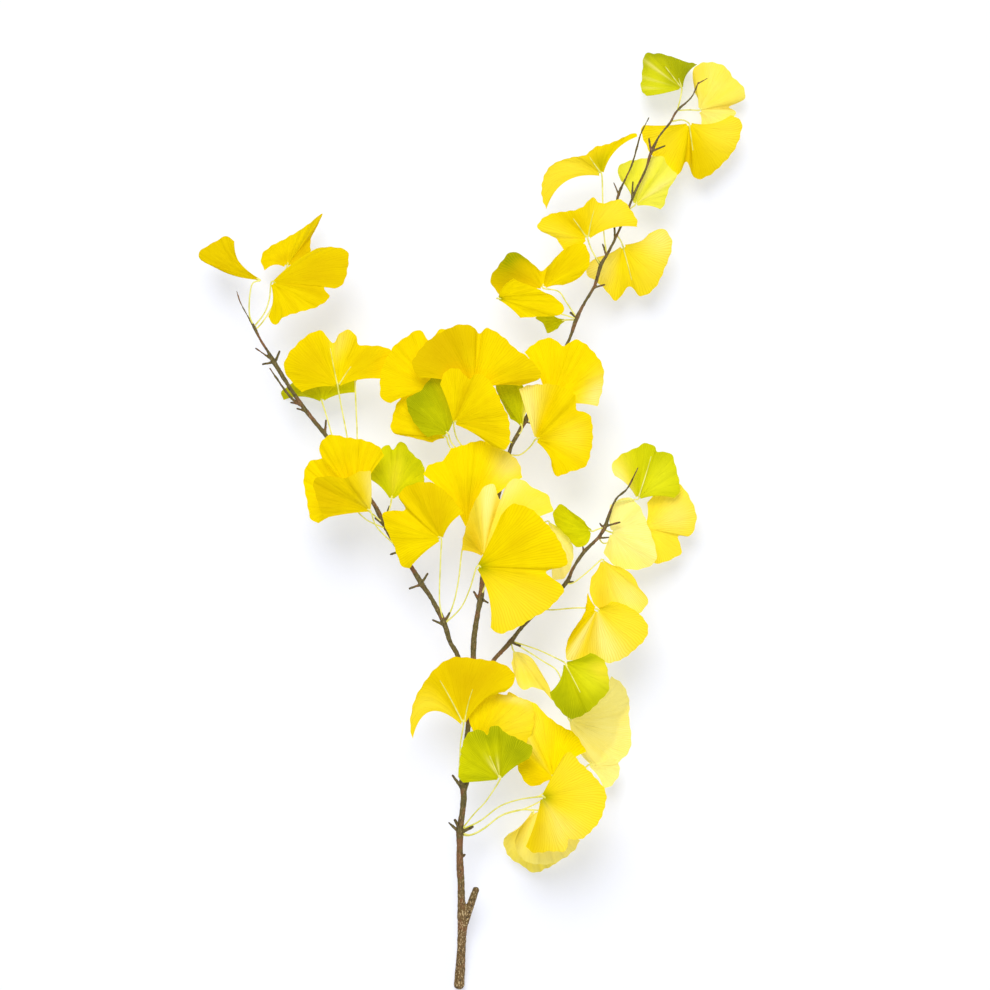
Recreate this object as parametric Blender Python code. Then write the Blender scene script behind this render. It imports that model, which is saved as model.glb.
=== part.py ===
"""Artificial ginkgo branch, lying on a surface: fabric fan leaves on moulded stalks and a brown stem.

Places are read on a board laid flat under the branch. A board point is (right, down, up) in
millimetres from the board's upper left corner, and BOARD_CENTRE is the board point above the origin.
"""

from math import ceil, cos, sin, tau
from typing import NamedTuple

import bmesh
import bpy
from mathutils import Vector

MM = 0.001
BOARD_CENTRE = (472.15, 519.42)

# Leaves
BLADE_THICKNESS = 0.9
SEAT_RADIUS = 2.6
LONGEST_STEP = 15.0
ROWS = (0.0, 0.42, 1.0)
PRESSED_ROWS = (0.0, 0.42, 0.78, 1.0)
BOW = 0.05
PLEAT_HEIGHT = 1.0
RIB_HEIGHT = 1.1
RIB_PLACES = (0.34, 0.66)
STALK_RADIUS = 0.9
STALK_ROOT = 3.5
STALK_SIDES_STEP = 0

# Brown stem
BARK_SIDES_STEP = 2
JOINT_GAP = 0.3
TRIM_STEP = 0.1
DISC_POINTS = 8
MERGE = 0.01

COLOURS = {
    "gold": (0.94, 0.62, 0.01, 1.0),
    "pale": (0.98, 0.82, 0.16, 1.0),
    "green": (0.52, 0.58, 0.01, 1.0),
    "bark": (0.13, 0.09, 0.04, 1.0),
}
ROUGHNESS = {"gold": 0.75, "pale": 0.75, "green": 0.75, "bark": 0.7}


class Leaf(NamedTuple):
    """One leaf: its seat, the outline of its free edge, and its stalk's way to the stem."""

    name: str
    tone: str
    seat: tuple
    rim: tuple
    heights: tuple
    stalk: tuple
    rib_side: int = -1


class Twig(NamedTuple):
    """One brown stem piece: points (right, down, up, diameter) and its pegs."""

    name: str
    course: tuple
    pegs: tuple = ()


MAIN = Twig(
    "main_stem",
    ((459, 985, 4.7, 10), (460, 972, 6.5, 9.5), (461, 955, 11, 7.5), (462, 935, 16, 8), (463, 916, 21, 12),
     (461.5, 900, 25, 8), (461, 880, 29, 7.5), (460, 860, 33, 7.5), (460, 844, 36, 6.5),
     (460, 830, 38, 8), (462, 815, 41, 6), (464, 795, 44, 6.5), (463, 781, 46, 7.5),
     (465, 760, 49, 5.5), (467, 737, 51, 5.5), (470, 712, 53, 5.5), (473, 680, 55, 6),
     (474, 640, 57, 6), (478, 612, 58, 5.5), (481, 596, 58, 6.5), (483, 575, 58, 5),
     (489, 530, 58, 4.6), (500, 490, 58, 4.4), (510, 450, 57, 4.2), (518, 434, 57, 4.2),
     (525, 421, 57, 5.5), (536, 402, 57, 3.8), (552, 371, 56, 3.4), (568, 342, 56, 3.2),
     (576, 320, 55, 4.6), (584, 304, 55, 3.2), (594, 287, 54, 3.4), (600, 267, 54, 4.2),
     (607, 255, 54, 3), (617, 235, 54, 2.8), (628, 209, 53, 2.8), (636, 190, 53, 2.6),
     (645, 171, 53, 2.6), (650, 155, 52, 3.8), (658, 139, 52, 2.4), (669, 125, 52, 2.4),
     (676, 113, 51, 2.6), (690, 100, 51, 2), (697, 85, 51, 1.4)),
    (((465, 914, 22), (476, 888, 30), 7, 6), ((463, 788, 45), (453, 774, 47), 4, 2.4),
     ((465, 790, 45), (469, 778, 50), 4, 2.4), ((460, 831, 38), (449, 821, 39), 4, 2),
     ((460, 828, 39), (455, 818, 44), 4, 2.4), ((461, 831, 38), (473, 825, 40), 4.4, 3),
     ((461, 856, 34), (465, 853, 37), 4, 2), ((480, 601, 58), (474, 591, 58), 3.4, 2),
     ((481, 598, 58), (488, 602, 59), 3.4, 2), ((525, 422, 57), (519, 416, 59), 3, 1.8),
     ((526, 420, 57), (529, 411, 58), 3, 1.8), ((526, 422, 57), (532, 424, 57), 3, 1.8),
     ((576, 319, 55), (570, 314, 56), 3.2, 2.2), ((600, 267, 54), (595, 259, 55), 3, 1.8),
     ((606, 258, 54), (602, 246, 55), 2.6, 1.8), ((593, 289, 54), (604, 286, 55), 2.6, 1.6),
     ((631, 200, 53), (632, 184, 55), 2.2, 1.4), ((650, 155, 52), (648, 141, 53), 2.4, 1.4),
     ((652, 153, 52), (664, 148, 52), 2.4, 1.4), ((697, 86, 51), (706, 81, 51), 1.3, 1)),
)

BRANCHES = (
    Twig("left_branch",
         ((470, 704, 53, 5), (464, 680, 54, 5), (458, 655, 55, 5), (450, 640, 55, 4.6),
          (444, 621, 55, 6), (432, 598, 54, 4.6), (422, 583, 53, 6), (412, 567, 52, 4.5),
          (400, 551, 51, 4.2), (385, 524, 51, 5.6), (374, 503, 50, 4.2), (352, 470, 49, 4),
          (327, 436, 48, 4.6), (307, 411, 47, 4.6), (292, 390, 46, 4), (276, 364, 46, 5.2),
          (269, 352, 45, 3), (262, 341, 45, 2.6), (255, 327, 45, 3.2), (249, 317, 44, 1.8),
          (242, 304, 44, 1.8), (238, 292, 44, 1.2)),
         (((444, 624, 55), (433, 619, 56), 3.2, 2), ((445, 620, 56), (450, 612, 59), 3.2, 2.2),
          ((422, 583, 53), (428, 573, 54), 3, 2), ((421, 584, 53), (410, 588, 53), 3, 2),
          ((385, 525, 51), (376, 518, 53), 3, 2), ((385, 523, 51), (390, 506, 52), 3, 2),
          ((326, 434, 48), (327, 421, 49), 3, 2), ((308, 412, 47), (298, 409, 48), 2.8, 1.8),
          ((303, 405, 47), (292, 403, 46), 2.6, 1.6), ((276, 364, 46), (281, 352, 48), 3, 2),
          ((275, 363, 46), (264, 365, 45), 3, 2), ((274, 361, 46), (257, 349, 47), 2.6, 1.2),
          ((400, 551, 51), (391, 554, 51), 2.8, 1.8))),
    Twig("right_branch",
         ((472, 692, 55, 4.6), (493, 660, 56, 4.6), (502, 650, 56, 4.2), (511, 640, 57, 5.4),
          (522, 626, 57, 3.8), (543, 605, 57, 3.6), (565, 583, 56, 4.6), (572, 569, 56, 3.2),
          (583, 552, 56, 4), (597, 538, 57, 3.4), (604, 527, 57, 4.6), (610, 510, 57, 2.6),
          (616, 498, 57, 2.4), (626, 489, 58, 2.2), (632, 478, 58, 1.8), (637, 468, 58, 1.2)),
         (((512, 641, 57), (520, 645, 57), 3.4, 2.4), ((566, 582, 56), (573, 581, 58), 2.8, 1.8),
          ((583, 552, 56), (582, 545, 58), 2.4, 1.6), ((597, 538, 57), (608, 537, 57), 2.4, 1.6),
          ((605, 526, 57), (619, 522, 58), 2.6, 1.6), ((603, 528, 57), (599, 523, 59), 2.6, 1.6))),
    Twig("upper_twig",
         ((614, 241, 54, 2.4), (614, 215, 53, 2.2), (618, 196, 53, 3), (625, 180, 53, 2),
          (631, 167, 53, 2), (636, 150, 53, 2.2), (640, 136, 53, 1.8), (648, 120, 53, 1.2)),
         (((618, 197, 53), (613, 185, 55), 2, 1.4),)),
    Twig("left_twig",
         ((301, 406, 47, 2.6), (291, 397, 43, 2.6), (282, 385, 42, 2.4), (271, 369, 41, 1.8))),
)

LEAVES = (
    Leaf("left_tip_small", "gold", (262, 282, 52),
         ((216, 271), (200, 258), (216, 245), (229, 239), (236, 247)), (46, 38, 40, 46),
         ((254, 285, 51), (251, 300, 49), (251, 316, 47), (255, 327, 45))),
    Leaf("left_tip_fold", "gold", (288, 268, 38),
         ((266, 273), (262, 262), (265, 252), (283, 240), (303, 229), (321, 217), (310, 238),
          (308, 251)), (36, 28, 22, 34),
         ((281, 292, 36), (268, 316, 39), (260, 337, 45))),
    Leaf("left_tip_broad", "gold", (273, 284, 60),
         ((318, 250), (347, 252), (350, 263), (346, 282), (338, 290), (325, 289), (330, 298),
          (320, 305), (303, 312), (286, 317), (277, 327), (270, 318)), (54, 62, 70, 58),
         ((271, 300, 56), (266, 314, 51), (256, 327, 45))),
    Leaf("left_wide", "gold", (339, 387, 60),
         ((303, 393), (286, 373), (288, 358), (300, 343), (311, 335), (323, 332), (333, 344),
          (343, 335), (351, 331), (357, 345), (378, 348), (386, 366), (384, 380)), (50, 54, 64, 60),
         ((342, 405, 58), (348, 437, 55), (352, 470, 49)), 1),
    Leaf("left_under_green", "green", (323, 402, 42),
         ((284, 400), (283, 391), (300, 378), (325, 370), (350, 375), (356, 385), (354, 393)),
         (-3, 8, 34, 40, 42),
         ((327, 415, 43), (333, 436, 45), (339, 452, 48))),
    Leaf("left_hidden", "gold", (356, 384, 50),
         ((344, 363), (358, 352), (371, 362)), (50, 47, 50),
         ((357, 410, 51), (358, 437, 51), (357, 477, 49))),
    Leaf("left_low_top", "gold", (358, 510, 68),
         ((325, 462), (321, 447), (330, 436), (345, 437), (365, 441), (380, 447), (385, 457)),
         (80, 84, 80),
         ((368, 520, 62), (386, 528, 51))),
    Leaf("left_low_side", "gold", (362, 508, 58),
         ((320, 523), (312, 518), (308, 500), (305, 477), (310, 463), (322, 461)), (62, 62, 68),
         ((371, 512, 56), (385, 524, 51))),
    Leaf("left_low_front", "gold", (372, 511, 78),
         ((326, 518), (319, 500), (316, 480), (330, 476), (345, 478), (360, 472), (372, 472)),
         (86, 98, 96),
         ((378, 527, 68), (397, 546, 51))),
    Leaf("left_low_green", "green", (392, 500, 56),
         ((368, 478), (374, 458), (388, 445), (393, 450), (402, 442), (412, 453), (424, 466),
          (424, 486)), (58, 52, 52),
         ((391, 506, 55), (386, 525, 51))),
    Leaf("mid_left", "gold", (442, 539, 76),
         ((410, 568), (402, 564), (393, 541), (384, 513), (406, 510), (399, 496), (410, 486),
          (430, 482), (450, 495), (463, 513)), (62, 68, 82, 86),
         ((441, 560, 70), (440, 600, 62), (444, 621, 55))),
    Leaf("mid_crown", "gold", (467, 528, 70),
         ((424, 475), (430, 465), (444, 460), (452, 449), (465, 445), (480, 441), (496, 458),
          (508, 454), (519, 465), (522, 478)), (72, 76, 74),
         ((462, 552, 68), (459, 578, 64), (454, 602, 60), (446, 622, 55))),
    Leaf("mid_pale", "pale", (484, 556, 74),
         ((462, 549), (466, 535), (474, 527), (481, 505), (486, 488), (494, 485), (500, 502),
          (508, 483), (520, 479), (535, 489), (547, 495), (553, 511)), (80, 88, 86),
         ((488, 574, 67), (481, 596, 58))),
    Leaf("mid_front", "gold", (477, 566, 86),
         ((491, 626), (500, 632), (515, 627), (530, 618), (548, 607), (563, 588), (545, 571),
          (566, 564), (561, 545), (550, 528), (535, 512), (512, 504), (501, 515)),
         (92, 98, 104, 98),
         ((470, 588, 74), (461, 607, 64), (446, 622, 55))),
    Leaf("mid_back", "pale", (548, 521, 54),
         ((568, 536), (573, 550), (571, 565), (563, 578), (552, 580)), (52, 48, 48),
         ((541, 523, 55), (518, 530, 57), (489, 530, 58))),
    Leaf("crown_front", "gold", (454, 424, 88),
         ((441, 386), (446, 373), (458, 370), (467, 385), (478, 375), (490, 383), (500, 400),
          (508, 418), (510, 438), (505, 450), (488, 445)), (98, 106, 98),
         ((459, 442, 70), (478, 460, 65), (506, 468, 57))),
    Leaf("crown_green", "green", (449, 435, 76),
         ((428, 438), (413, 420), (408, 400), (422, 392), (438, 383)), (74, 80, 80),
         ((454, 446, 66), (478, 468, 62), (503, 479, 58))),
    Leaf("crown_left_low", "gold", (447, 438, 64),
         ((433, 443), (413, 438), (393, 432), (394, 415), (403, 397), (420, 388)), (64, 62, 66),
         ((452, 450, 60), (478, 478, 58), (500, 490, 58))),
    Leaf("crown_left", "gold", (436, 392, 72),
         ((392, 404), (382, 398), (382, 375), (393, 350), (405, 340), (420, 331), (430, 342),
          (440, 331), (450, 331)), (74, 76, 76),
         ((452, 404, 73), (472, 427, 70), (509, 455, 57))),
    Leaf("crown_top", "gold", (474, 392, 88),
         ((420, 379), (413, 366), (418, 355), (432, 340), (448, 331), (462, 326), (474, 329),
          (479, 336), (488, 330), (502, 338), (514, 349), (530, 361), (541, 378), (520, 387)),
         (90, 92, 94, 88),
         ((486, 408, 78), (495, 430, 68), (513, 444, 57))),
    Leaf("crown_mid_green", "green", (522, 428, 64),
         ((511, 420), (500, 399), (496, 385), (508, 378), (517, 390), (525, 410)), (64, 66, 66),
         ((521, 432, 61), (518, 435, 57))),
    Leaf("crown_right", "gold", (548, 408, 64),
         ((524, 353), (540, 341), (552, 340), (563, 347), (575, 341), (590, 350), (602, 368),
          (602, 386), (597, 407)), (66, 70, 66),
         ((541, 417, 61), (526, 423, 57))),
    Leaf("crown_right_low", "gold", (535, 440, 74),
         ((519, 390), (530, 386), (546, 385), (562, 388), (574, 396), (576, 410), (588, 415),
          (592, 430), (590, 452), (585, 466), (570, 472), (557, 476), (547, 465)), (78, 80, 74),
         ((530, 447, 68), (520, 455, 61), (509, 455, 57))),
    Leaf("upper_bowl", "gold", (543, 290, 66),
         ((500, 297), (490, 281), (500, 266), (510, 254), (520, 256), (533, 266), (543, 272),
          (563, 252), (583, 246), (589, 264), (578, 280), (562, 287)), (60, 62, 72, 66),
         ((558, 293, 62), (566, 304, 58), (576, 319, 55))),
    Leaf("upper_lap", "gold", (497, 300, 70),
         ((520, 319), (538, 318), (555, 317), (564, 311), (555, 302), (538, 295), (515, 290)),
         (72, 74, 80),
         ((500, 305, 65), (525, 311, 60), (556, 315, 57), (576, 320, 55))),
    Leaf("upper_small_green", "green", (566, 321, 50),
         ((558, 329), (547, 334), (543, 325), (536, 318), (553, 316)), (48, 44, 48),
         ((571, 321, 52), (576, 321, 55))),
    Leaf("upper_right_rib", "gold", (622, 247, 42),
         ((648, 235), (662, 230), (671, 241), (669, 256), (661, 275), (653, 290), (640, 297),
          (629, 287), (616, 301), (606, 292), (597, 283), (586, 275), (588, 265), (598, 258)),
         (40, 30, 30, 42),
         ((620, 242, 46), (616, 237, 54)), 1),
    Leaf("upper_star", "gold", (587, 241, 66),
         ((575, 250), (563, 247), (552, 239), (537, 231), (548, 217), (570, 213), (582, 209),
          (592, 200), (601, 206), (620, 202), (630, 213), (636, 222), (636, 229)), (62, 64, 70, 64),
         ((591, 252, 60), (600, 267, 54)), 1),
    Leaf("upper_bird", "gold", (601, 177, 62),
         ((546, 211), (541, 196), (544, 178), (552, 167), (570, 160), (584, 158), (594, 150),
          (605, 148), (640, 134)), (56, 58, 66, 62),
         ((602, 205, 59), (603, 234, 57), (606, 257, 54)), 1),
    Leaf("upper_big", "gold", (688, 125, 38),
         ((643, 127), (641, 135), (648, 152), (658, 165), (676, 177), (686, 163), (694, 179),
          (708, 177), (720, 166), (733, 152), (741, 131), (740, 122), (730, 117)), (40, 34, 24, 34),
         ((681, 122, 45), (670, 124, 52)), 1),
    Leaf("upper_lime", "pale", (634, 207, 45),
         ((620, 182), (617, 171), (624, 164), (640, 161), (660, 158), (667, 168), (676, 177),
          (668, 190), (664, 205), (660, 211)), (45, 45, 43, 42),
         ((630, 210, 48), (626, 214, 53))),
    Leaf("tip_yellow", "pale", (698, 112, 36),
         ((700, 127), (718, 128), (736, 114), (729, 108), (744, 100), (743, 88), (733, 79),
          (725, 68), (712, 64), (699, 65), (692, 74), (695, 95)), (26, 20, 24, 34),
         ((688, 112, 44), (676, 113, 51))),
    Leaf("tip_green", "green", (681, 91, 42),
         ((646, 99), (641, 90), (643, 68), (646, 54), (658, 56), (672, 59), (690, 64), (697, 67)),
         (30, 12, -3, 6, 22),
         ((679, 102, 47), (676, 113, 51)), 1),
    Leaf("right_green", "green", (637, 499, 49),
         ((614, 476), (611, 466), (620, 455), (634, 449), (645, 443), (654, 447), (657, 452),
          (670, 454), (675, 468), (679, 490), (673, 498)), (50, 46, 42, 44),
         ((629, 500, 51), (614, 502, 57)), 1),
    Leaf("right_gold", "gold", (648, 528, 36),
         ((650, 500), (664, 488), (678, 484), (690, 500), (695, 517), (690, 535), (677, 536),
          (681, 552), (670, 559), (655, 558)), (36, 30, 26, 30),
         ((632, 531, 36), (614, 540, 38), (603, 543, 43), (598, 537, 57))),
    Leaf("right_pale", "pale", (610, 532, 50),
         ((603, 552), (614, 565), (628, 569), (645, 567), (655, 559), (652, 540), (645, 520),
          (636, 503), (625, 498), (612, 501)), (44, 42, 44, 50),
         ((607, 531, 52), (603, 529, 57))),
    Leaf("right_hang", "gold", (601, 559, 60),
         ((593, 577), (591, 586), (598, 598), (612, 610), (628, 613), (641, 610), (647, 599),
          (638, 587), (631, 574), (618, 566)), (60, 64, 60),
         ((586, 572, 60), (573, 582, 58), (565, 583, 56))),
    Leaf("right_fold", "gold", (596, 608, 68),
         ((587, 592), (583, 613), (568, 637), (566, 658), (580, 657), (592, 652), (602, 660),
          (612, 661), (625, 655), (642, 640), (647, 626), (637, 614), (622, 608)),
         (70, 68, 72, 76),
         ((576, 607, 63), (552, 609, 60), (540, 608, 57))),
    Leaf("right_olive", "green", (564, 661, 72),
         ((553, 689), (562, 705), (570, 716), (585, 711), (600, 697), (608, 688), (608, 670),
          (600, 660), (592, 651)), (76, 82, 86, 84),
         ((554, 656, 66), (536, 648, 60), (511, 640, 57)), 1),
    Leaf("right_fan", "pale", (568, 718, 36),
         ((611, 676), (624, 686), (629, 703), (630, 725), (630, 748), (619, 762), (605, 772),
          (588, 762)), (26, 4, -18, -18, -6),
         ((565, 700, 42), (558, 672, 50), (541, 659, 54), (514, 642, 57))),
    Leaf("low_droop", "gold", (464, 722, 66),
         ((413, 737), (411, 720), (414, 702), (424, 682), (436, 667), (453, 656), (472, 657),
          (495, 660), (512, 669), (514, 681), (505, 690)), (62, 68, 72, 70),
         ((461, 740, 61), (457, 758, 54), (453, 774, 48)), 1),
    Leaf("low_slip", "pale", (513, 649, 51),
         ((511, 662), (520, 687), (532, 686), (543, 689), (553, 700), (548, 684), (538, 668)),
         (50, 44, 48),
         ((512, 646, 53), (511, 640, 57))),
    Leaf("low_green", "green", (500, 777, 70),
         ((463, 780), (459, 772), (461, 752), (465, 736), (475, 731), (486, 733), (493, 725),
          (501, 732), (510, 732), (522, 740), (533, 748), (526, 758)), (68, 76, 74),
         ((486, 799, 58), (475, 811, 49), (461, 829, 38)), 1),
    Leaf("low_shelf", "gold", (478, 738, 58),
         ((472, 706), (480, 698), (505, 700), (530, 705), (531, 724), (525, 742)), (60, 59, 58),
         ((475, 750, 54), (464, 764, 48))),
    Leaf("low_gold", "gold", (553, 777, 54),
         ((540, 783), (528, 783), (519, 770), (521, 758), (528, 740), (508, 691), (520, 697),
          (535, 702), (546, 714), (558, 728), (574, 736), (586, 750)), (55, 52, 50, 46),
         ((540, 792, 50), (510, 808, 44), (484, 825, 39), (460, 832, 38))),
    Leaf("low_front", "gold", (541, 794, 72),
         ((553, 772), (567, 750), (580, 760), (592, 772), (604, 787), (604, 803), (597, 820),
          (585, 833), (575, 836), (568, 836), (565, 847), (550, 848), (533, 849), (526, 843)),
         (76, 84, 84, 74),
         ((520, 797, 62), (500, 804, 54), (480, 819, 45), (461, 828, 38))),
    Leaf("low_right_pale", "pale", (588, 764, 30),
         ((603, 788), (612, 783), (619, 773), (617, 762), (610, 756)), (30, 24, 26),
         ((560, 788, 33), (520, 816, 34), (484, 838, 34), (460, 842, 36))),
    Leaf("low_behind", "pale", (533, 809, 44),
         ((504, 837), (504, 848), (514, 860), (527, 867), (536, 872), (548, 866), (560, 860)),
         (32, 6, 4, 24),
         ((515, 813, 44), (498, 822, 42), (480, 833, 38), (460, 837, 37))),
    Leaf("low_between", "pale", (538, 808, 58),
         ((522, 836), (517, 846), (524, 856), (545, 862), (563, 860), (576, 849), (577, 838)),
         (52, 44, 56),
         ((520, 808, 53), (500, 814, 49), (482, 826, 43), (460, 832, 38))),
    Leaf("right_leaf_green", "green", (592, 531, 60),
         ((575, 547), (566, 535), (555, 524), (553, 513), (560, 504), (570, 511), (584, 521)),
         (60, 60, 64),
         ((597, 529, 60), (604, 527, 57))),
)


def place(point):
    """Turn a board point (right, down, up) into metres about the origin."""
    right, down, up = point
    return Vector((right - BOARD_CENTRE[0], BOARD_CENTRE[1] - down, up)) * MM


def height_along(heights, share):
    """Read a list of heights at a share of the way along it."""
    last = len(heights) - 1
    index = min(int(share * last), last - 1)
    part = share * last - index
    return heights[index] * (1 - part) + heights[index + 1] * part


def rounded_between(points, index, part):
    """Point on the smooth curve through the outline, a part of the way after points[index]."""
    before = points[max(index - 1, 0)]
    start, end = points[index], points[index + 1]
    after = points[min(index + 2, len(points) - 1)]
    slope_start = (end - before) * 0.5
    slope_end = (after - start) * 0.5
    square, cube = part ** 2, part ** 3
    return (start * (2 * cube - 3 * square + 1) + slope_start * (cube - 2 * square + part)
            + end * (3 * square - 2 * cube) + slope_end * (cube - square))


def rim_columns(leaf):
    """Points along the free edge: the outline's own, and some between those far apart."""
    last = len(leaf.rim) - 1
    outline = [place((x, y, height_along(leaf.heights, i / last))) for i, (x, y) in enumerate(leaf.rim)]
    columns = []
    for i in range(last):
        steps = ceil((outline[i + 1] - outline[i]).length / (LONGEST_STEP * MM))
        columns += [rounded_between(outline, i, step / steps) for step in range(steps)]
    columns.append(outline[last])
    return columns


def facing(seat, columns):
    """Upward normal of the fan from the seat to the free edge."""
    total = Vector()
    for first, second in zip(columns, columns[1:]):
        total += (first - seat).cross(second - seat)
    total.normalize()
    return total if total.z > 0 else -total


def blade_skins(leaf):
    """Rows of points of the blade's under and upper skin, from the seat to the free edge."""
    seat = place(leaf.seat)
    columns = rim_columns(leaf)
    up = facing(seat, columns)
    last = len(columns) - 1
    ribs = {round(share * last) for share in RIB_PLACES} if last > 3 else set()
    under, upper = [], []
    for share in PRESSED_ROWS if min(leaf.heights) < 0 else ROWS:
        low_row, high_row = [], []
        for i, edge in enumerate(columns):
            reach = edge - seat
            start = min(SEAT_RADIUS * MM / reach.length, 0.5)
            point = seat + reach * (start + (1 - start) * share)
            point += up * reach.length * BOW * 4 * share * (1 - share)
            point += up * PLEAT_HEIGHT * MM * share * (0.5 if i % 2 else -0.5)
            point.z = max(point.z, 0)
            ridge = RIB_HEIGHT * MM if i in ribs and 0 < share < 1 else 0
            thick = BLADE_THICKNESS * MM
            low_row.append(point - up * ridge if leaf.rib_side < 0 else point)
            high_row.append(point + up * (thick + ridge if leaf.rib_side > 0 else thick))
        for low in low_row:
            low.z = max(low.z, 0)
        under.append(low_row)
        upper.append(high_row)
    return under, upper


def blade_mesh(leaf):
    """Closed blade: two skins split into the same triangles, and a strip round their edge."""
    under, upper = blade_skins(leaf)
    mesh = bmesh.new()
    low = [[mesh.verts.new(point) for point in row] for row in under]
    high = [[mesh.verts.new(point) for point in row] for row in upper]
    rows, columns = len(low), len(low[0])
    for r in range(rows - 1):
        for c in range(columns - 1):
            for skin in (low, high):
                a, b, d, e = skin[r][c], skin[r][c + 1], skin[r + 1][c + 1], skin[r + 1][c]
                mesh.faces.new((a, b, d))
                mesh.faces.new((a, d, e))
    border = [(0, c) for c in range(columns)] + [(r, columns - 1) for r in range(1, rows)]
    border += [(rows - 1, c) for c in range(columns - 2, -1, -1)] + [(r, 0) for r in range(rows - 2, 0, -1)]
    for (r1, c1), (r2, c2) in zip(border, border[1:] + border[:1]):
        mesh.faces.new((low[r1][c1], low[r2][c2], high[r2][c2]))
        mesh.faces.new((low[r1][c1], high[r2][c2], high[r1][c1]))
    bmesh.ops.recalc_face_normals(mesh, faces=mesh.faces)
    data = bpy.data.meshes.new(leaf.name)
    mesh.to_mesh(data)
    mesh.free()
    return data


def bark_segments(twigs):
    """Every straight run of the brown stem and its pegs, with the radius at both ends."""
    runs = []
    for twig in twigs:
        for first, second in zip(twig.course, twig.course[1:]):
            runs.append((place(first[:3]), place(second[:3]), first[3] * MM / 2, second[3] * MM / 2))
        for root, tip, wide, narrow in twig.pegs:
            start, end = place(root), place(tip)
            end -= (end - start).normalized() * narrow * MM / 2
            runs.append((start, end, wide * MM / 2, narrow * MM / 2))
    return runs


def bark_distance(point, runs):
    """Distance from a point to the nearest bark."""
    nearest = 1.0
    for start, end, wide, narrow in runs:
        along = end - start
        share = max(0.0, min(1.0, (point - start).dot(along) / along.length_squared))
        radius = wide + (narrow - wide) * share
        nearest = min(nearest, (point - start - along * share).length - radius)
    return nearest


def stop_at_bark(points, radius, runs):
    """Shorten a route at its far end until its end disc just clears the bark."""
    points = [point.copy() for point in points]
    while len(points) > 1:
        run = points[-1] - points[-2]
        heading = run.normalized()
        side = heading.orthogonal().normalized()
        other = heading.cross(side)
        turns = [tau * i / DISC_POINTS for i in range(DISC_POINTS)]
        disc = [points[-1] + (side * cos(turn) + other * sin(turn)) * radius for turn in turns]
        if min(bark_distance(point, runs) for point in (points[-1], *disc)) > JOINT_GAP * MM:
            return points
        if run.length > 2 * TRIM_STEP * MM:
            points[-1] -= heading * TRIM_STEP * MM
        else:
            points.pop()
    return points


def tube_object(name, points, radii, sides_step):
    """Round bar through points, with closed ends, as a mesh object."""
    curve = bpy.data.curves.new(name, "CURVE")
    curve.dimensions = "3D"
    curve.bevel_depth = 1.0
    curve.bevel_resolution = sides_step
    curve.use_fill_caps = True
    spline = curve.splines.new("POLY")
    spline.points.add(len(points) - 1)
    for target, point, radius in zip(spline.points, points, radii):
        target.co = (*point, 1)
        target.radius = radius
    source = bpy.data.objects.new(name + "_course", curve)
    bpy.context.collection.objects.link(source)
    mesh = bpy.data.meshes.new_from_object(source.evaluated_get(bpy.context.evaluated_depsgraph_get()))
    rounded = bmesh.new()
    rounded.from_mesh(mesh)
    bmesh.ops.remove_doubles(rounded, verts=rounded.verts, dist=MERGE * MM)
    for vertex in rounded.verts:
        vertex.co.z = max(vertex.co.z, 0)
    rounded.to_mesh(mesh)
    rounded.free()
    bpy.data.objects.remove(source)
    bpy.data.curves.remove(curve)
    result = bpy.data.objects.new(name, mesh)
    bpy.context.collection.objects.link(result)
    return result


def fuse(body, others):
    """Join other objects into a body by one union, and remove them."""
    group = bpy.data.collections.new(body.name + "_parts")
    bpy.context.scene.collection.children.link(group)
    for other in others:
        bpy.context.collection.objects.unlink(other)
        group.objects.link(other)
    union = body.modifiers.new("union", "BOOLEAN")
    union.operation = "UNION"
    union.solver = "EXACT"
    union.operand_type = "COLLECTION"
    union.collection = group
    whole = bpy.data.meshes.new_from_object(body.evaluated_get(bpy.context.evaluated_depsgraph_get()))
    body.modifiers.remove(union)
    body.data = whole
    for other in others:
        bpy.data.objects.remove(other)
    bpy.data.collections.remove(group)


def material(tone):
    """Plain material of one tone."""
    name = "leaf_" + tone if tone != "bark" else tone
    made = bpy.data.materials.get(name)
    if made is None:
        made = bpy.data.materials.new(name)
        made.use_nodes = True
        shader = made.node_tree.nodes["Principled BSDF"]
        shader.inputs["Base Color"].default_value = COLOURS[tone]
        shader.inputs["Roughness"].default_value = ROUGHNESS[tone]
    return made


def make_leaf(leaf, runs):
    """One leaf: blade and stalk in one body."""
    body = bpy.data.objects.new(leaf.name, blade_mesh(leaf))
    bpy.context.collection.objects.link(body)
    seat = place(leaf.seat)
    inward = Vector()
    for edge in rim_columns(leaf):
        inward += edge - seat
    middle = seat + facing(seat, rim_columns(leaf)) * BLADE_THICKNESS * MM / 2
    route = [middle + inward.normalized() * STALK_ROOT * MM, middle] + [place(p) for p in leaf.stalk]
    route = stop_at_bark(route, STALK_RADIUS * MM, runs)
    stalk = tube_object(leaf.name + "_stalk", route, [STALK_RADIUS * MM] * len(route), STALK_SIDES_STEP)
    fuse(body, [stalk])
    body.data.materials.clear()
    body.data.materials.append(material(leaf.tone))


def make_twig(twig, runs):
    """One brown stem piece with its pegs, started clear of the bark that carries it."""
    points = [place(point[:3]) for point in twig.course]
    radii = [point[3] * MM / 2 for point in twig.course]
    if runs:
        kept = stop_at_bark(points[::-1], radii[0], runs)[::-1]
        radii = radii[len(points) - len(kept):]
        points = kept
    body = tube_object(twig.name, points, radii, BARK_SIDES_STEP)
    pegs = [tube_object(twig.name + "_peg", (place(root), place(tip)), (wide * MM / 2, narrow * MM / 2), 0)
            for root, tip, wide, narrow in twig.pegs]
    if pegs:
        fuse(body, pegs)
    body.data.materials.clear()
    body.data.materials.append(material("bark"))
    body.data.shade_smooth()


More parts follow.
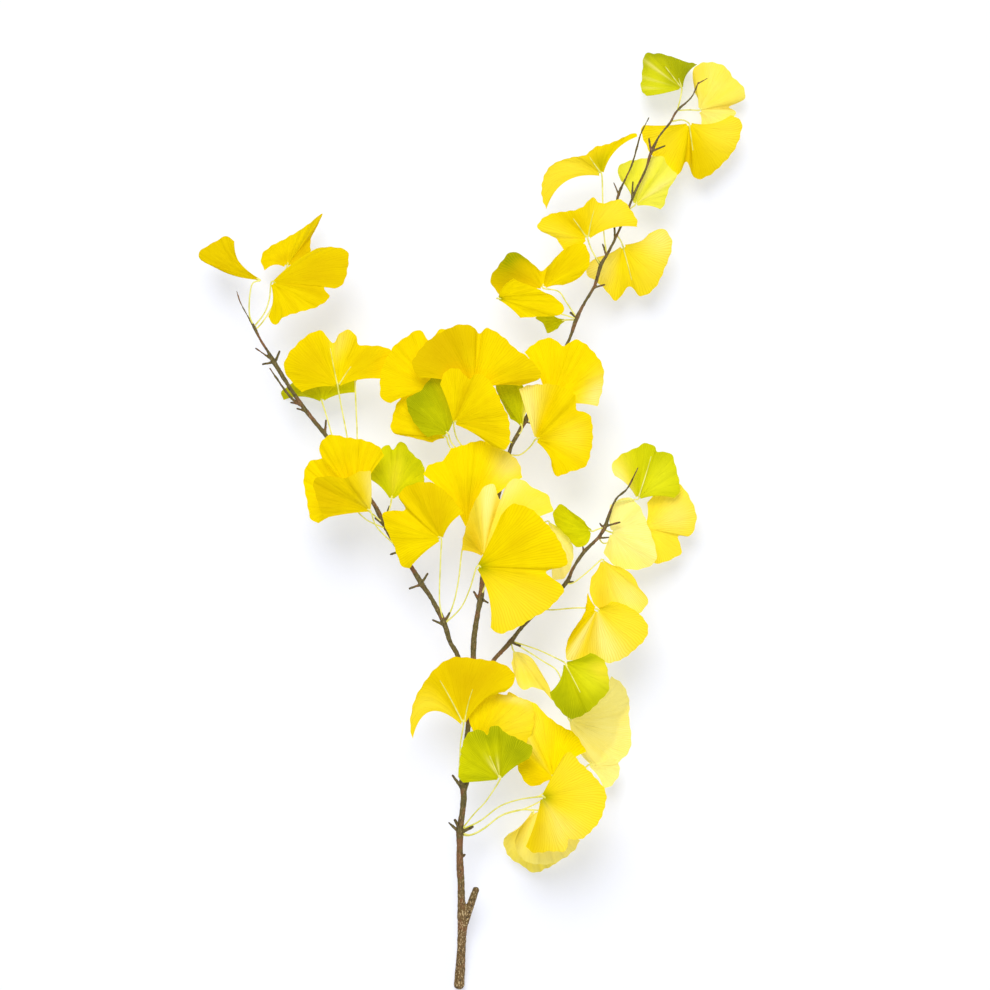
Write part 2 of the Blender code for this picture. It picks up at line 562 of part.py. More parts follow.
def main():
    """Build the stem pieces and every leaf."""
    for old in list(bpy.data.objects):
        bpy.data.objects.remove(old)
    make_twig(MAIN, [])
    main_bark = bark_segments((MAIN,))
    for branch in BRANCHES[:3]:
        make_twig(branch, main_bark)
    make_twig(BRANCHES[3], bark_segments(BRANCHES[:1]))
    bark = bark_segments((MAIN,) + BRANCHES)
    for leaf in LEAVES:
        make_leaf(leaf, bark)


main()
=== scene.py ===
"""Looks of an artificial ginkgo branch that lies on a pale floor.

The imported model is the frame. Each leaf is modelled again as thin pleated cloth with its moulded
stalk and ribs, and each brown stem piece as knotty moulded bark, where the model has them. Places
are board points: (right, down, up) in millimetres from the upper left corner of a flat board that
lies under the branch, and BOARD_CENTRE is the board point above the origin.
"""

import logging
from collections.abc import Callable
from dataclasses import dataclass
from enum import Enum
from functools import partial
from math import ceil, cos, exp, radians, sin, tau
from random import Random

import bpy
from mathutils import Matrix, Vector, noise


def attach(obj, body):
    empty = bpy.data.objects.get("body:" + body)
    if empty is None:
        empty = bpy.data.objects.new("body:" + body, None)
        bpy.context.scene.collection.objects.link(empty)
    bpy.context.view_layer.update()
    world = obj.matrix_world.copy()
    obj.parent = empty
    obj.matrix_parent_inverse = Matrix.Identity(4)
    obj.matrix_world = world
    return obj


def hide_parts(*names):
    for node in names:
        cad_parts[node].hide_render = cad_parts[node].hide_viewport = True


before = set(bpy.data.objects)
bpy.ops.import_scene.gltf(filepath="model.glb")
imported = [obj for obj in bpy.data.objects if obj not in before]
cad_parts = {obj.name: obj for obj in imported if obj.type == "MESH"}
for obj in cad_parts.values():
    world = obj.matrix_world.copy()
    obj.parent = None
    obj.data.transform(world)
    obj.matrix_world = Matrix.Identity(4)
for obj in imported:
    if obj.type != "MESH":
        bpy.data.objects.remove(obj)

LOG = logging.getLogger("ginkgo_branch")
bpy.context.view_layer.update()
MM = 0.001
BOARD_CENTRE = (472.15, 519.42)
BOARD_SIDE = 990
BODY = "root"

Colour = tuple[float, float, float]
Point = tuple[float, float, float]
Spot = tuple[float, float]
Span = tuple[float, float]
Shape = Callable[[float, float], Vector]
Value = float | Colour | bpy.types.NodeSocket

# Cloth blades, in millimetres and shares
SEAT_RADIUS = 2.6
LARGEST_SEAT_SHARE = 0.5
HALF_BLADE = 0.45
CLOTH_THICKNESS = 0.4
BOW = 0.05
LOWEST = 0.25
EDGE_PARTS = 8
COLUMN_STEP = 1.6
FEWEST_COLUMNS = 24
MOST_COLUMNS = 120
BLADE_ROWS = 26
RIPPLES = ((0.8, 1.6, 1.2), (2.2, 3.6, 1.0), (5, 8, 0.45), (13, 20, 0.2))
RIPPLE_SIZES = (0.5, 1.0)
RIPPLE_POWER = 1.5
CURL = (-1.5, 1.5)
CURL_POWER = 3
FOLD_EASE = 1.6
SCALLOP = (9, 14)
SCALLOP_START = 0.82
SCALLOP_DEPTH = 0.45
SLOW_SCALLOP = 0.37
SLOW_SCALLOP_SHARE = 0.5
WAIST_REACH = 0.85
WAIST_EASE = 1.4
SEARCH_STEPS = 40
SMOOTH_ANGLE = radians(50)

# Moulded stalks and ribs
STALK_ROOT = 4.0
STALK_RADII = (0.85, 0.7)
STALK_FACES = 8
RIB_RADII = (0.8, 0.35)
RIB_FACES = 6
RIB_STEPS = 16
FEWEST_RIB_STEPS = 3
TOP_RIB_LIFT = 0.45
HIDDEN_RIB_DROP = 0.9
HIDDEN_RIBS = (0.34, 0.66)
HIDDEN_RIB_LENGTH = 0.42
ROD_STEP = 1.6
ROUND_END = ((0.4, 0.85), (0.7, 0.5), (0.8, 0.0))
SEAM_MERGE = 0.00001

# Moulded bark
BARK_FACES = 16
BARK_VOXEL = 0.55
BARK_TRIM = 0.12
BARK_RELIEF = ((6, 0.35), (2.2, 0.22), (1.1, 0.1))
PEG_SHADE = 5.0

# Inputs and output of the Mix node that carry colours
MIX_INPUTS = (0, 6, 7)
MIX_RESULT = 2


class Tone(Enum):
    """The dyed cloths that the leaves are cut from, each with the record's slot."""

    GOLD = "leaf_gold"
    PALE = "leaf_pale"
    GREEN = "leaf_green"


class Hue(Enum):
    """Colours laid over a leaf's cloth, by the name of their mask: lime and yellow tint, green tint with
    painted olive shade, painted shade in amber and painted highlight in cream.
    """

    LEAF_GREEN = "green_spray"
    LIME = "lime_spray"
    YELLOW = "yellow_spray"
    AMBER = "amber_spray"
    CREAM = "cream_spray"


@dataclass(frozen=True)
class TintAndLightPatch:
    """A soft patch of colour, centred at shares across and along the leaf's fan; its hue tells tint from
    painted shade and painted highlight.
    """

    hue: Hue
    across: float
    along: float
    width: float = 0.25
    length: float = 0.3
    strength: float = 0.8

    def weight(self, across: float, along: float) -> float:
        """Strength of the patch at a place on the fan."""
        sideways = (across - self.across) / self.width
        lengthways = (along - self.along) / self.length
        return self.strength * exp(-sideways ** 2 - lengthways ** 2)


@dataclass(frozen=True)
class Fold:
    """A fold that runs out from the seat: its share across the fan, its rise and its width."""

    across: float
    rise: float
    width: float = 0.08


@dataclass(frozen=True)
class Leaf:
    """One leaf: where its fan sits, its free edge, its stalk's way, and what marks it, painted shade and
    highlights among its colour patches.
    """

    name: str
    tone: Tone
    seat: Point
    rim: tuple[Spot, ...]
    heights: tuple[float, ...]
    stalk: tuple[Point, ...]
    ribs: tuple[tuple[Spot, ...], ...] = ()
    waist: Spot = (0.07, 0.07)
    folds: tuple[Fold, ...] = ()
    tints_and_light: tuple[TintAndLightPatch, ...] = ()


@dataclass(frozen=True)
class Twig:
    """One brown stem piece: points (right, down, up, diameter) and its pegs."""

    name: str
    course: tuple[tuple[float, float, float, float], ...]
    pegs: tuple[tuple[Point, Point, float, float], ...] = ()


# Green patches: real green tint at some seats and spots, and painted olive shade in folds and hollows.
green = partial(TintAndLightPatch, Hue.LEAF_GREEN)
lime = partial(TintAndLightPatch, Hue.LIME)
yellow = partial(TintAndLightPatch, Hue.YELLOW)
# Amber patches: painted shade where folds, creases, tucked edges and overlaps shade the leaf.
painted_shade = partial(TintAndLightPatch, Hue.AMBER)
# Cream patches: painted highlight, and painted light laid over leaves that lie in shade.
painted_highlight = partial(TintAndLightPatch, Hue.CREAM)

TWIGS = (
    Twig(
        "main_stem",
        ((459, 985, 5.1, 10.8), (460, 972, 6.8, 10.4), (461, 955, 11, 9.2), (462, 935, 16, 9),
         (463, 916, 21, 12), (461.5, 900, 25, 8), (461, 880, 29, 7.5), (460, 860, 33, 7.5),
         (460, 844, 36, 6.5), (460, 830, 38, 8), (462, 815, 41, 6), (464, 795, 44, 6.5), (463, 781, 46, 7.5),
         (465, 760, 49, 5.5), (467, 737, 51, 5.5), (470, 712, 53, 5.5), (473, 680, 55, 6),
         (474, 640, 57, 6), (478, 612, 58, 5.5), (481, 596, 58, 6.5), (483, 575, 58, 5),
         (489, 530, 58, 4.6), (500, 490, 58, 4.4), (510, 450, 57, 4.2), (518, 434, 57, 4.2),
         (525, 421, 57, 5.5), (536, 402, 57, 3.8), (552, 371, 56, 3.4), (568, 342, 56, 3.2),
         (576, 320, 55, 4.6), (584, 304, 55, 3.2), (594, 287, 54, 3.4), (600, 267, 54, 4.2),
         (607, 255, 54, 3), (617, 235, 54, 2.8), (628, 209, 53, 2.8), (636, 190, 53, 2.6),
         (645, 171, 53, 2.6), (650, 155, 52, 3.8), (658, 139, 52, 2.4), (669, 125, 52, 2.4),
         (676, 113, 51, 2.6), (690, 100, 51, 2), (697, 85, 51, 1.4)),
        (((464.5, 921, 20), (476, 888, 30), 9, 6.6), ((463, 788, 45), (453, 774, 47), 4, 2.4),
         ((465, 790, 45), (469, 778, 50), 4, 2.4), ((460, 831, 38), (449, 821, 39), 4, 2),
         ((460, 828, 39), (455, 818, 44), 4, 2.4), ((461, 831, 38), (473, 825, 40), 4.4, 3),
         ((461, 856, 34), (465, 853, 37), 4, 2), ((480, 601, 58), (474, 591, 58), 3.4, 2),
         ((481, 598, 58), (488, 602, 59), 3.4, 2), ((525, 422, 57), (519, 416, 59), 3, 1.8),
         ((526, 420, 57), (529, 411, 58), 3, 1.8), ((526, 422, 57), (532, 424, 57), 3, 1.8),
         ((576, 319, 55), (570, 314, 56), 3.2, 2.2), ((600, 267, 54), (595, 259, 55), 3, 1.8),
         ((606, 258, 54), (602, 246, 55), 2.6, 1.8), ((593, 289, 54), (604, 286, 55), 2.6, 1.6),
         ((631, 200, 53), (632, 184, 55), 2.2, 1.4), ((650, 155, 52), (648, 141, 53), 2.4, 1.4),
         ((652, 153, 52), (664, 148, 52), 2.4, 1.4), ((697, 86, 51), (706, 81, 51), 1.3, 1)),
    ),
    Twig(
        "left_branch",
        ((470, 704, 53, 5), (464, 680, 54, 5), (458, 655, 55, 5), (450, 640, 55, 4.6),
         (444, 621, 55, 6), (432, 598, 54, 4.6), (422, 583, 53, 6), (412, 567, 52, 4.5),
         (400, 551, 51, 4.2), (385, 524, 51, 5.6), (374, 503, 50, 4.2), (352, 470, 49, 4),
         (327, 436, 48, 4.6), (307, 411, 47, 4.6), (292, 390, 46, 4), (276, 364, 46, 5.2),
         (269, 352, 45, 3), (262, 341, 45, 2.6), (255, 327, 45, 3.2), (249, 317, 44, 1.8),
         (242, 304, 44, 1.8), (238, 292, 44, 1.2)),
        (((444, 624, 55), (433, 619, 56), 3.2, 2), ((445, 620, 56), (450, 612, 59), 3.2, 2.2),
         ((422, 583, 53), (428, 573, 54), 3, 2), ((421, 584, 53), (410, 588, 53), 3, 2),
         ((385, 525, 51), (376, 518, 53), 3, 2), ((385, 523, 51), (390, 506, 52), 3, 2),
         ((326, 434, 48), (327, 421, 49), 3, 2), ((308, 412, 47), (298, 409, 48), 2.8, 1.8),
         ((303, 405, 47), (292, 403, 46), 2.6, 1.6), ((276, 364, 46), (281, 352, 48), 3, 2),
         ((275, 363, 46), (264, 365, 45), 3, 2), ((274, 361, 46), (257, 349, 47), 2.6, 1.2),
         ((400, 551, 51), (391, 554, 51), 2.8, 1.8)),
    ),
    Twig(
        "right_branch",
        ((472, 692, 55, 4.6), (493, 660, 56, 4.6), (502, 650, 56, 4.2), (511, 640, 57, 5.4),
         (522, 626, 57, 3.8), (543, 605, 57, 3.6), (565, 583, 56, 4.6), (572, 569, 56, 3.2),
         (583, 552, 56, 4), (597, 538, 57, 3.4), (604, 527, 57, 4.6), (610, 510, 57, 2.6),
         (616, 498, 57, 2.4), (626, 489, 58, 2.2), (632, 478, 58, 1.8), (637, 468, 58, 1.2)),
        (((512, 641, 57), (520, 645, 57), 3.4, 2.4), ((566, 582, 56), (573, 581, 58), 2.8, 1.8),
         ((583, 552, 56), (582, 545, 58), 2.4, 1.6), ((597, 538, 57), (608, 537, 57), 2.4, 1.6),
         ((605, 526, 57), (619, 522, 58), 2.6, 1.6), ((603, 528, 57), (599, 523, 59), 2.6, 1.6)),
    ),
    Twig(
        "upper_twig",
        ((614, 241, 54, 2.4), (614, 215, 53, 2.2), (618, 196, 53, 3), (625, 180, 53, 2),
         (631, 167, 53, 2), (636, 150, 53, 2.2), (640, 136, 53, 1.8), (648, 120, 53, 1.2)),
        (((618, 197, 53), (613, 185, 55), 2, 1.4),),
    ),
    Twig(
        "left_twig",
        ((301, 406, 47, 2.6), (291, 397, 43, 2.6), (282, 385, 42, 2.4), (271, 369, 41, 1.8)),
    ),
)

# Leaves; their amber patches are painted shade and their cream patches painted highlight.
LEAVES = (
    Leaf("left_tip_small", Tone.GOLD, (262, 282, 52),
         ((219, 270), (206, 263.5), (200, 258), (204, 251), (214, 245), (224, 239), (230, 238), (236, 243)),
         (46, 38, 40, 46), ((254, 285, 51), (251, 300, 49), (251, 316, 47), (255, 327, 45)),
         waist=(-0.06, 0.16), folds=(Fold(0.55, 2, 0.12),), tints_and_light=(painted_shade(0.5, 0.5, 2, 2, 0.6),)),
    Leaf("left_tip_fold", Tone.GOLD, (288, 268, 38),
         ((266, 271), (262, 262), (265, 252), (283, 241), (303, 230), (323, 215), (312, 238), (312, 252)),
         (36, 28, 22, 34), ((279, 290, 36), (273, 308, 38), (263, 324, 42), (257, 330, 45)),
         waist=(0.16, -0.08), folds=(Fold(0.72, 3, 0.05),),
         tints_and_light=(painted_shade(0.92, 0.6, 0.24, 0.7, 0.9), painted_shade(0.3, 0.2, 0.3, 0.2, 0.6))),
    Leaf("left_tip_broad", Tone.GOLD, (273, 284, 60),
         ((318, 250), (333, 249), (347, 252), (350, 263), (346, 282), (338, 290), (325, 289), (331, 299),
          (322, 307), (304, 313.5), (287, 318.5), (277, 327), (270, 318)),
         (54, 62, 70, 58), ((271, 300, 56), (266, 314, 51), (256, 327, 45)),
         waist=(-0.03, 0.1), folds=(Fold(0.3, 2, 0.1), Fold(0.52, -2.5, 0.05)),
         tints_and_light=(painted_shade(0.28, 0.6, 0.25, 0.6, 0.75), painted_shade(0.55, 0.7, 0.06, 0.4, 0.5))),
    Leaf("left_wide", Tone.GOLD, (339, 387, 60),
         ((303, 393), (286, 373), (288, 358), (300, 343), (311, 335), (323, 332), (334, 344), (341, 335),
          (349, 331), (357, 336), (360, 346), (379, 347), (391, 351), (391, 363), (384, 380)),
         (50, 54, 64, 60), ((342, 405, 58), (348, 437, 55), (352, 470, 49)),
         ribs=(((331, 350),), ((352, 368),)), folds=(Fold(0.45, 3, 0.07), Fold(0.72, -2.5, 0.08)),
         tints_and_light=(painted_shade(0.22, 0.5, 0.22, 0.6, 0.6), painted_shade(0.85, 0.7, 0.16, 0.5, 0.7),
                 painted_highlight(0.55, 0.8, 0.06, 0.3, 0.3))),
    Leaf("left_under_green", Tone.GREEN, (323, 402, 42),
         ((284, 400), (283, 391), (300, 378), (325, 370), (350, 375), (356, 385), (354, 393)),
         (-3, 8, 34, 40, 42), ((327, 415, 43), (333, 436, 45), (339, 452, 48))),
    Leaf("left_hidden", Tone.GOLD, (356, 384, 50),
         ((344, 363), (358, 352), (371, 362)),
         (50, 47, 50), ((357, 410, 51), (358, 437, 51), (357, 477, 49))),
    Leaf("left_low_top", Tone.GOLD, (358, 510, 68),
         ((325, 462), (321, 447), (330, 436), (345, 437), (365, 441), (380, 447), (385, 457)),
         (80, 84, 80), ((368, 520, 62), (386, 528, 51)),
         folds=(Fold(0.5, 2, 0.1),)),
    Leaf("left_low_side", Tone.GOLD, (362, 508, 58),
         ((320, 523), (312, 518), (308, 500), (305, 477), (310, 463), (322, 459), (338, 457)),
         (62, 62, 70), ((371, 512, 56), (385, 524, 51))),
    Leaf("left_low_front", Tone.GOLD, (372, 511, 78),
         ((326, 518), (319, 500), (316, 480), (330, 476), (345, 478), (360, 472), (372, 472)),
         (86, 98, 96), ((378, 527, 68), (397, 546, 51)),
         waist=(0.04, -0.02), folds=(Fold(0.78, 3, 0.05),),
         tints_and_light=(painted_shade(0.3, 0.8, 0.4, 0.7, 0.6), yellow(1.0, 0.4, 0.16, 0.6, 1.0),
                 yellow(0.9, 0.15, 0.3, 0.16, 0.9), painted_highlight(1.0, 0.5, 0.09, 0.7, 0.5))),
    Leaf("left_low_green", Tone.GREEN, (392, 500, 56),
         ((368, 478), (374, 458), (388, 445), (393, 450), (402, 442), (412, 453), (424, 466), (424, 486)),
         (58, 52, 52), ((391, 506, 55), (386, 525, 51)),
         tints_and_light=(green(0.1, 0.5, 0.12, 0.6, 0.3), green(0.75, 0.9, 0.2, 0.3, 0.4),
                 yellow(0.5, 0.35, 0.2, 0.4, 0.4))),
    Leaf("mid_left", Tone.GOLD, (442, 539, 76),
         ((410, 568), (402, 564), (393, 541), (384, 513), (406, 510), (399, 496), (410, 486), (430, 482),
          (450, 495), (463, 513)),
         (62, 68, 82, 86), ((441, 560, 70), (440, 600, 62), (444, 621, 55)),
         waist=(0.04, 0.08), folds=(Fold(0.62, -4, 0.06), Fold(0.3, 2, 0.1)),
         tints_and_light=(painted_shade(0.8, 0.5, 0.25, 0.7, 0.75),)),
    Leaf("mid_crown", Tone.GOLD, (467, 528, 70),
         ((424, 475), (430, 465), (444, 460), (452, 449), (465, 445), (480, 441), (491, 443), (500, 449),
          (510, 454), (519, 464), (522, 478)),
         (72, 76, 74), ((462, 552, 68), (459, 578, 64), (454, 602, 60), (446, 622, 55)),
         folds=(Fold(0.55, 2, 0.1),),
         tints_and_light=(painted_shade(0.5, 0.25, 0.5, 0.3, 0.55), painted_highlight(0.85, 0.9, 0.12, 0.2, 0.5))),
    Leaf("mid_pale", Tone.PALE, (484, 556, 74),
         ((462, 550), (464, 535), (468, 520), (475, 502), (484, 487), (494, 485), (500, 500), (508, 483),
          (520, 479), (535, 489), (547, 495), (553, 511)),
         (80, 88, 86), ((488, 574, 67), (481, 596, 58)),
         folds=(Fold(0.12, 3, 0.05), Fold(0.32, 3, 0.06), Fold(0.55, -3, 0.06)),
         tints_and_light=(yellow(0.5, 0.7, 2, 2, 1.0), painted_shade(0.1, 0.6, 0.2, 1.0, 1.0),
                 painted_shade(0.54, 0.6, 0.06, 0.5, 0.9), painted_shade(0.9, 0.4, 0.15, 0.4, 0.4),
                 painted_highlight(0.42, 0.8, 0.07, 0.6, 1.0), painted_highlight(0.68, 0.9, 0.08, 0.25, 0.7))),
    Leaf("mid_front", Tone.GOLD, (477, 566, 86),
         ((491, 626), (500, 632), (515, 627), (530, 618), (548, 607), (563, 588), (545, 571), (566, 564),
          (561, 545), (550, 528), (535, 512), (522, 505), (512, 504), (501, 515)),
         (92, 98, 104, 98), ((470, 588, 74), (461, 607, 64), (446, 622, 55)),
         waist=(0.09, 0.02), folds=(Fold(0.48, -0.8, 0.03),),
         tints_and_light=(green(0.5, 0.0, 0.7, 0.12, 0.8), painted_shade(0.75, 0.55, 0.2, 0.3, 0.25),
                 yellow(0.15, 0.7, 0.2, 0.5, 0.6))),
    Leaf("mid_back", Tone.PALE, (548, 521, 54),
         ((568, 536), (573, 550), (571, 565), (563, 578), (552, 580)),
         (52, 48, 48), ((541, 523, 55), (518, 530, 57), (489, 530, 58)),
         waist=(-0.05, 0.0), tints_and_light=(lime(0.05, 0.4, 0.25, 0.6, 0.9), painted_highlight(0.7, 0.8, 0.4, 0.6, 0.8))),
    Leaf("crown_front", Tone.GOLD, (454, 424, 88),
         ((441, 386), (446, 373), (458, 370), (469, 380), (478, 375), (490, 383), (500, 400), (508, 418),
          (510, 438), (505, 450), (488, 445)),
         (98, 106, 98), ((459, 442, 70), (478, 460, 65), (506, 468, 57)),
         waist=(0.04, 0.06), folds=(Fold(0.33, 1.5, 0.05), Fold(0.6, 2, 0.1)),
         tints_and_light=(painted_shade(0.28, 0.5, 0.06, 0.6, 0.6), painted_shade(0.75, 0.6, 0.2, 0.4, 0.4))),
    Leaf("crown_green", Tone.GREEN, (449, 435, 76),
         ((428, 438), (413, 420), (408, 400), (421, 392), (435, 377), (448, 385)),
         (74, 80, 80), ((454, 446, 66), (478, 468, 62), (503, 479, 58)),
         waist=(0.07, -0.14),
         tints_and_light=(green(0.5, 0.5, 2, 2, 0.5), green(0.55, 0.95, 0.3, 0.3, 0.5),
                 painted_shade(0.95, 0.8, 0.2, 0.6, 0.4))),
    Leaf("crown_left_low", Tone.GOLD, (447, 438, 64),
         ((433, 443), (413, 438), (393, 432), (394, 415), (403, 397), (420, 388)),
         (64, 62, 66), ((452, 450, 60), (478, 478, 58), (500, 490, 58)),
         tints_and_light=(painted_shade(0.4, 0.7, 0.7, 0.8, 0.25),)),
    Leaf("crown_left", Tone.GOLD, (436, 392, 72),
         ((392, 404), (382, 398), (382, 375), (393, 350), (405, 340), (420, 331), (430, 342), (440, 331),
          (450, 331)),
         (74, 76, 76), ((452, 404, 73), (472, 427, 70), (509, 455, 57)),
         folds=(Fold(0.45, -2, 0.1),)),
    Leaf("crown_top", Tone.GOLD, (474, 392, 88),
         ((420, 379), (413, 366), (418, 355), (432, 340), (448, 331), (462, 326), (474, 329), (479, 336),
          (488, 330), (502, 338), (514, 349), (530, 361), (541, 378), (520, 387)),
         (90, 92, 94, 88), ((486, 408, 78), (495, 430, 68), (513, 444, 57)),
         folds=(Fold(0.38, 3, 0.07), Fold(0.5, -3, 0.04), Fold(0.72, 2, 0.1)),
         tints_and_light=(painted_shade(0.22, 0.7, 0.28, 0.8, 1.0), painted_shade(0.92, 0.7, 0.16, 0.5, 0.6))),
    Leaf("crown_mid_green", Tone.GREEN, (522, 428, 64),
         ((511, 420), (500, 399), (496, 385), (508, 378), (521, 384), (530, 406)),
         (64, 66, 66), ((521, 432, 61), (518, 435, 57)),
         tints_and_light=(green(0.4, 0.7, 0.6, 0.8, 0.7), painted_highlight(1.0, 0.5, 0.12, 0.5, 0.6))),
    Leaf("crown_right", Tone.GOLD, (548, 408, 64),
         ((524, 353), (540, 341), (552, 340), (563, 347), (575, 341), (590, 350), (602, 368), (602, 386),
          (597, 407)),
         (66, 70, 66), ((541, 417, 61), (526, 423, 57)),
         tints_and_light=(painted_highlight(0.93, 0.92, 0.14, 0.25, 0.8),)),
    Leaf("crown_right_low", Tone.GOLD, (535, 440, 74),
         ((519, 390), (530, 386), (546, 385), (562, 388), (574, 396), (576, 410), (588, 415), (592, 430),
          (590, 452), (585, 466), (570, 472), (556, 476), (551, 466)),
         (78, 80, 74), ((530, 447, 68), (520, 455, 61), (509, 455, 57)),
         waist=(0.0, 0.15), folds=(Fold(0.1, 3, 0.03), Fold(0.2, -3, 0.03), Fold(0.3, 2.5, 0.04)),
         tints_and_light=(painted_highlight(0.04, 0.6, 0.08, 0.7, 0.9), yellow(0.6, 0.6, 0.12, 0.3, 0.7),
                 painted_shade(0.5, 0.1, 0.6, 0.12, 0.5), painted_shade(0.17, 0.6, 0.03, 0.6, 0.3))),
    Leaf("upper_bowl", Tone.GOLD, (543, 290, 66),
         ((500, 297), (490, 281), (500, 266), (510, 254), (520, 256), (533, 266), (543, 272), (563, 252),
          (583, 246), (589, 264), (578, 280), (562, 287)),
         (60, 62, 72, 66), ((558, 293, 62), (566, 304, 58), (576, 319, 55)),
         folds=(Fold(0.48, -4, 0.06), Fold(0.2, 3, 0.08)),
         tints_and_light=(green(0.27, 0.92, 0.11, 0.22, 1.0), painted_shade(0.16, 0.6, 0.24, 0.7, 1.0),
                 green(0.14, 0.65, 0.14, 0.4, 0.35), painted_shade(0.62, 0.3, 0.1, 0.4, 0.6))),
    Leaf("upper_lap", Tone.GOLD, (497, 300, 70),
         ((520, 319), (538, 318), (555, 317), (564, 311), (556, 300), (540, 292), (513, 281)),
         (72, 74, 82), ((507, 302, 65), (527, 307, 60), (556, 314, 57), (576, 320, 55)),
         waist=(0.05, -0.1), tints_and_light=(green(0.5, 0.0, 0.8, 0.08, 0.8),)),
    Leaf("upper_small_green", Tone.GREEN, (566, 321, 50),
         ((558, 329), (547, 334), (543, 325), (536, 318), (553, 316)),
         (48, 44, 48), ((571, 321, 52), (576, 321, 55))),
    Leaf("upper_right_rib", Tone.GOLD, (622, 247, 42),
         ((648, 235), (662, 230), (671, 241), (669, 256), (661, 275), (653, 290), (640, 297), (629, 287),
          (616, 301), (606, 292), (597, 283), (586, 275), (588, 265), (598, 258)),
         (40, 30, 30, 42), ((620, 242, 46), (616, 237, 54)),
         ribs=(((631, 281),),), waist=(0.12, 0.05), folds=(Fold(0.5, -2, 0.04), Fold(0.3, 2, 0.1)),
         tints_and_light=(yellow(0.2, 0.7, 0.3, 0.6, 0.9), painted_highlight(0.12, 0.8, 0.12, 0.4, 0.5),
                 painted_highlight(0.88, 0.7, 0.12, 0.5, 0.6))),
    Leaf("upper_star", Tone.GOLD, (587, 241, 66),
         ((576, 252), (563, 251), (555, 240), (537, 230), (548, 217), (570, 213), (582, 209), (592, 200),
          (601, 206), (620, 202), (630, 213), (636, 222), (636, 229)),
         (62, 64, 70, 64), ((591, 252, 60), (600, 267, 54)),
         ribs=(((572, 221),), ((594, 213),)), waist=(0.0, 0.1), folds=(Fold(0.5, 3, 0.06),),
         tints_and_light=(painted_shade(0.48, 0.5, 0.12, 0.6, 0.5), yellow(0.85, 0.7, 0.2, 0.5, 0.9),
                 yellow(0.22, 0.7, 0.12, 0.5, 0.8))),
    Leaf("upper_bird", Tone.GOLD, (601, 177, 62),
         ((546, 211), (541, 196), (544, 178), (552, 167), (570, 160), (584, 158), (594, 150), (605, 147.5),
          (621, 141), (634, 135.5), (636, 139.5)),
         (56, 58, 66, 62), ((602, 205, 59), (603, 234, 57), (606, 257, 54)),
         ribs=(((588, 160),),), waist=(0.2, 0.12), folds=(Fold(0.55, 3, 0.1),),
         tints_and_light=(yellow(0.2, 0.6, 0.35, 0.8, 0.9), green(0.75, 0.2, 0.2, 0.35, 0.6),
                 painted_shade(0.6, 0.6, 0.12, 0.5, 0.3))),
    Leaf("upper_big", Tone.GOLD, (688, 125, 38),
         ((643, 127), (641, 135), (648, 152), (658, 165), (676, 177), (686, 163), (694, 179), (708, 177),
          (720, 166), (733, 152), (741, 131), (740, 122), (730, 117)),
         (40, 34, 24, 34), ((681, 122, 45), (670, 124, 52)),
         ribs=(((692, 152),),), waist=(0.02, 0.1), folds=(Fold(0.45, -2.5, 0.05), Fold(0.7, 2, 0.08)),
         tints_and_light=(painted_shade(0.55, 0.6, 0.15, 0.6, 0.6), yellow(0.9, 0.7, 0.2, 0.6, 0.9),
                 yellow(0.15, 0.7, 0.14, 0.5, 0.4))),
    Leaf("upper_lime", Tone.PALE, (634, 207, 45),
         ((620, 182), (617, 171), (624, 164), (640, 161), (660, 158), (667, 168), (676, 177), (668, 190),
          (664, 205), (660, 211)),
         (45, 45, 43, 42), ((630, 210, 48), (626, 214, 53)),
         folds=(Fold(0.5, 2, 0.06), Fold(0.3, -2, 0.06)),
         tints_and_light=(lime(0.5, 0.5, 2, 2, 0.9), green(0.1, 0.9, 0.12, 0.3, 0.2),
                 painted_highlight(0.7, 0.5, 0.08, 0.5, 0.7), painted_highlight(0.4, 0.6, 0.05, 0.5, 0.5))),
    Leaf("tip_yellow", Tone.PALE, (698, 112, 36),
         ((700, 127), (718, 128), (736, 114), (729, 108), (744, 100), (743, 88), (733, 79), (725, 68),
          (712, 64), (699, 65), (692, 74), (695, 95)),
         (26, 20, 24, 34), ((688, 112, 44), (676, 113, 51)),
         folds=(Fold(0.35, -2, 0.05),),
         tints_and_light=(yellow(0.5, 0.5, 2, 2, 0.75), painted_shade(0.9, 0.9, 0.12, 0.4, 0.5),
                 painted_shade(0.34, 0.7, 0.05, 0.5, 0.4), painted_highlight(0.12, 0.6, 0.2, 0.7, 0.7))),
    Leaf("tip_green", Tone.GREEN, (681, 91, 42),
         ((646, 99), (641, 90), (643, 68), (646, 54), (658, 56), (672, 59), (690, 64), (697, 67)),
         (30, 12, -3, 6, 22), ((679, 102, 47), (676, 113, 51)),
         ribs=(((665, 68),), ((678, 80),)), waist=(-0.07, 0.1), folds=(Fold(0.6, 3, 0.05),),
         tints_and_light=(green(0.9, 0.6, 0.3, 0.7, 1.0), green(0.5, 0.95, 0.2, 0.12, 0.6),
                 lime(0.2, 0.6, 0.3, 0.7, 0.8), painted_highlight(0.12, 0.8, 0.02, 0.3, 0.3),
                 painted_highlight(0.24, 0.75, 0.015, 0.4, 0.35), painted_highlight(0.4, 0.6, 0.025, 0.4, 0.7),
                 green(0.3, 0.2, 0.15, 0.25, 0.5))),
    Leaf("right_green", Tone.GREEN, (637, 499, 49),
         ((614, 476), (611, 466), (620, 455), (634, 449), (645, 443), (654, 447), (657, 452), (670, 454),
          (675, 468), (679, 490), (673, 498)),
         (50, 46, 42, 44), ((629, 500, 51), (614, 502, 57)),
         ribs=(((650, 457),),), folds=(Fold(0.42, 2, 0.06),),
         tints_and_light=(yellow(0.06, 0.7, 0.16, 0.7, 0.9), painted_highlight(0.03, 0.8, 0.1, 0.5, 0.8),
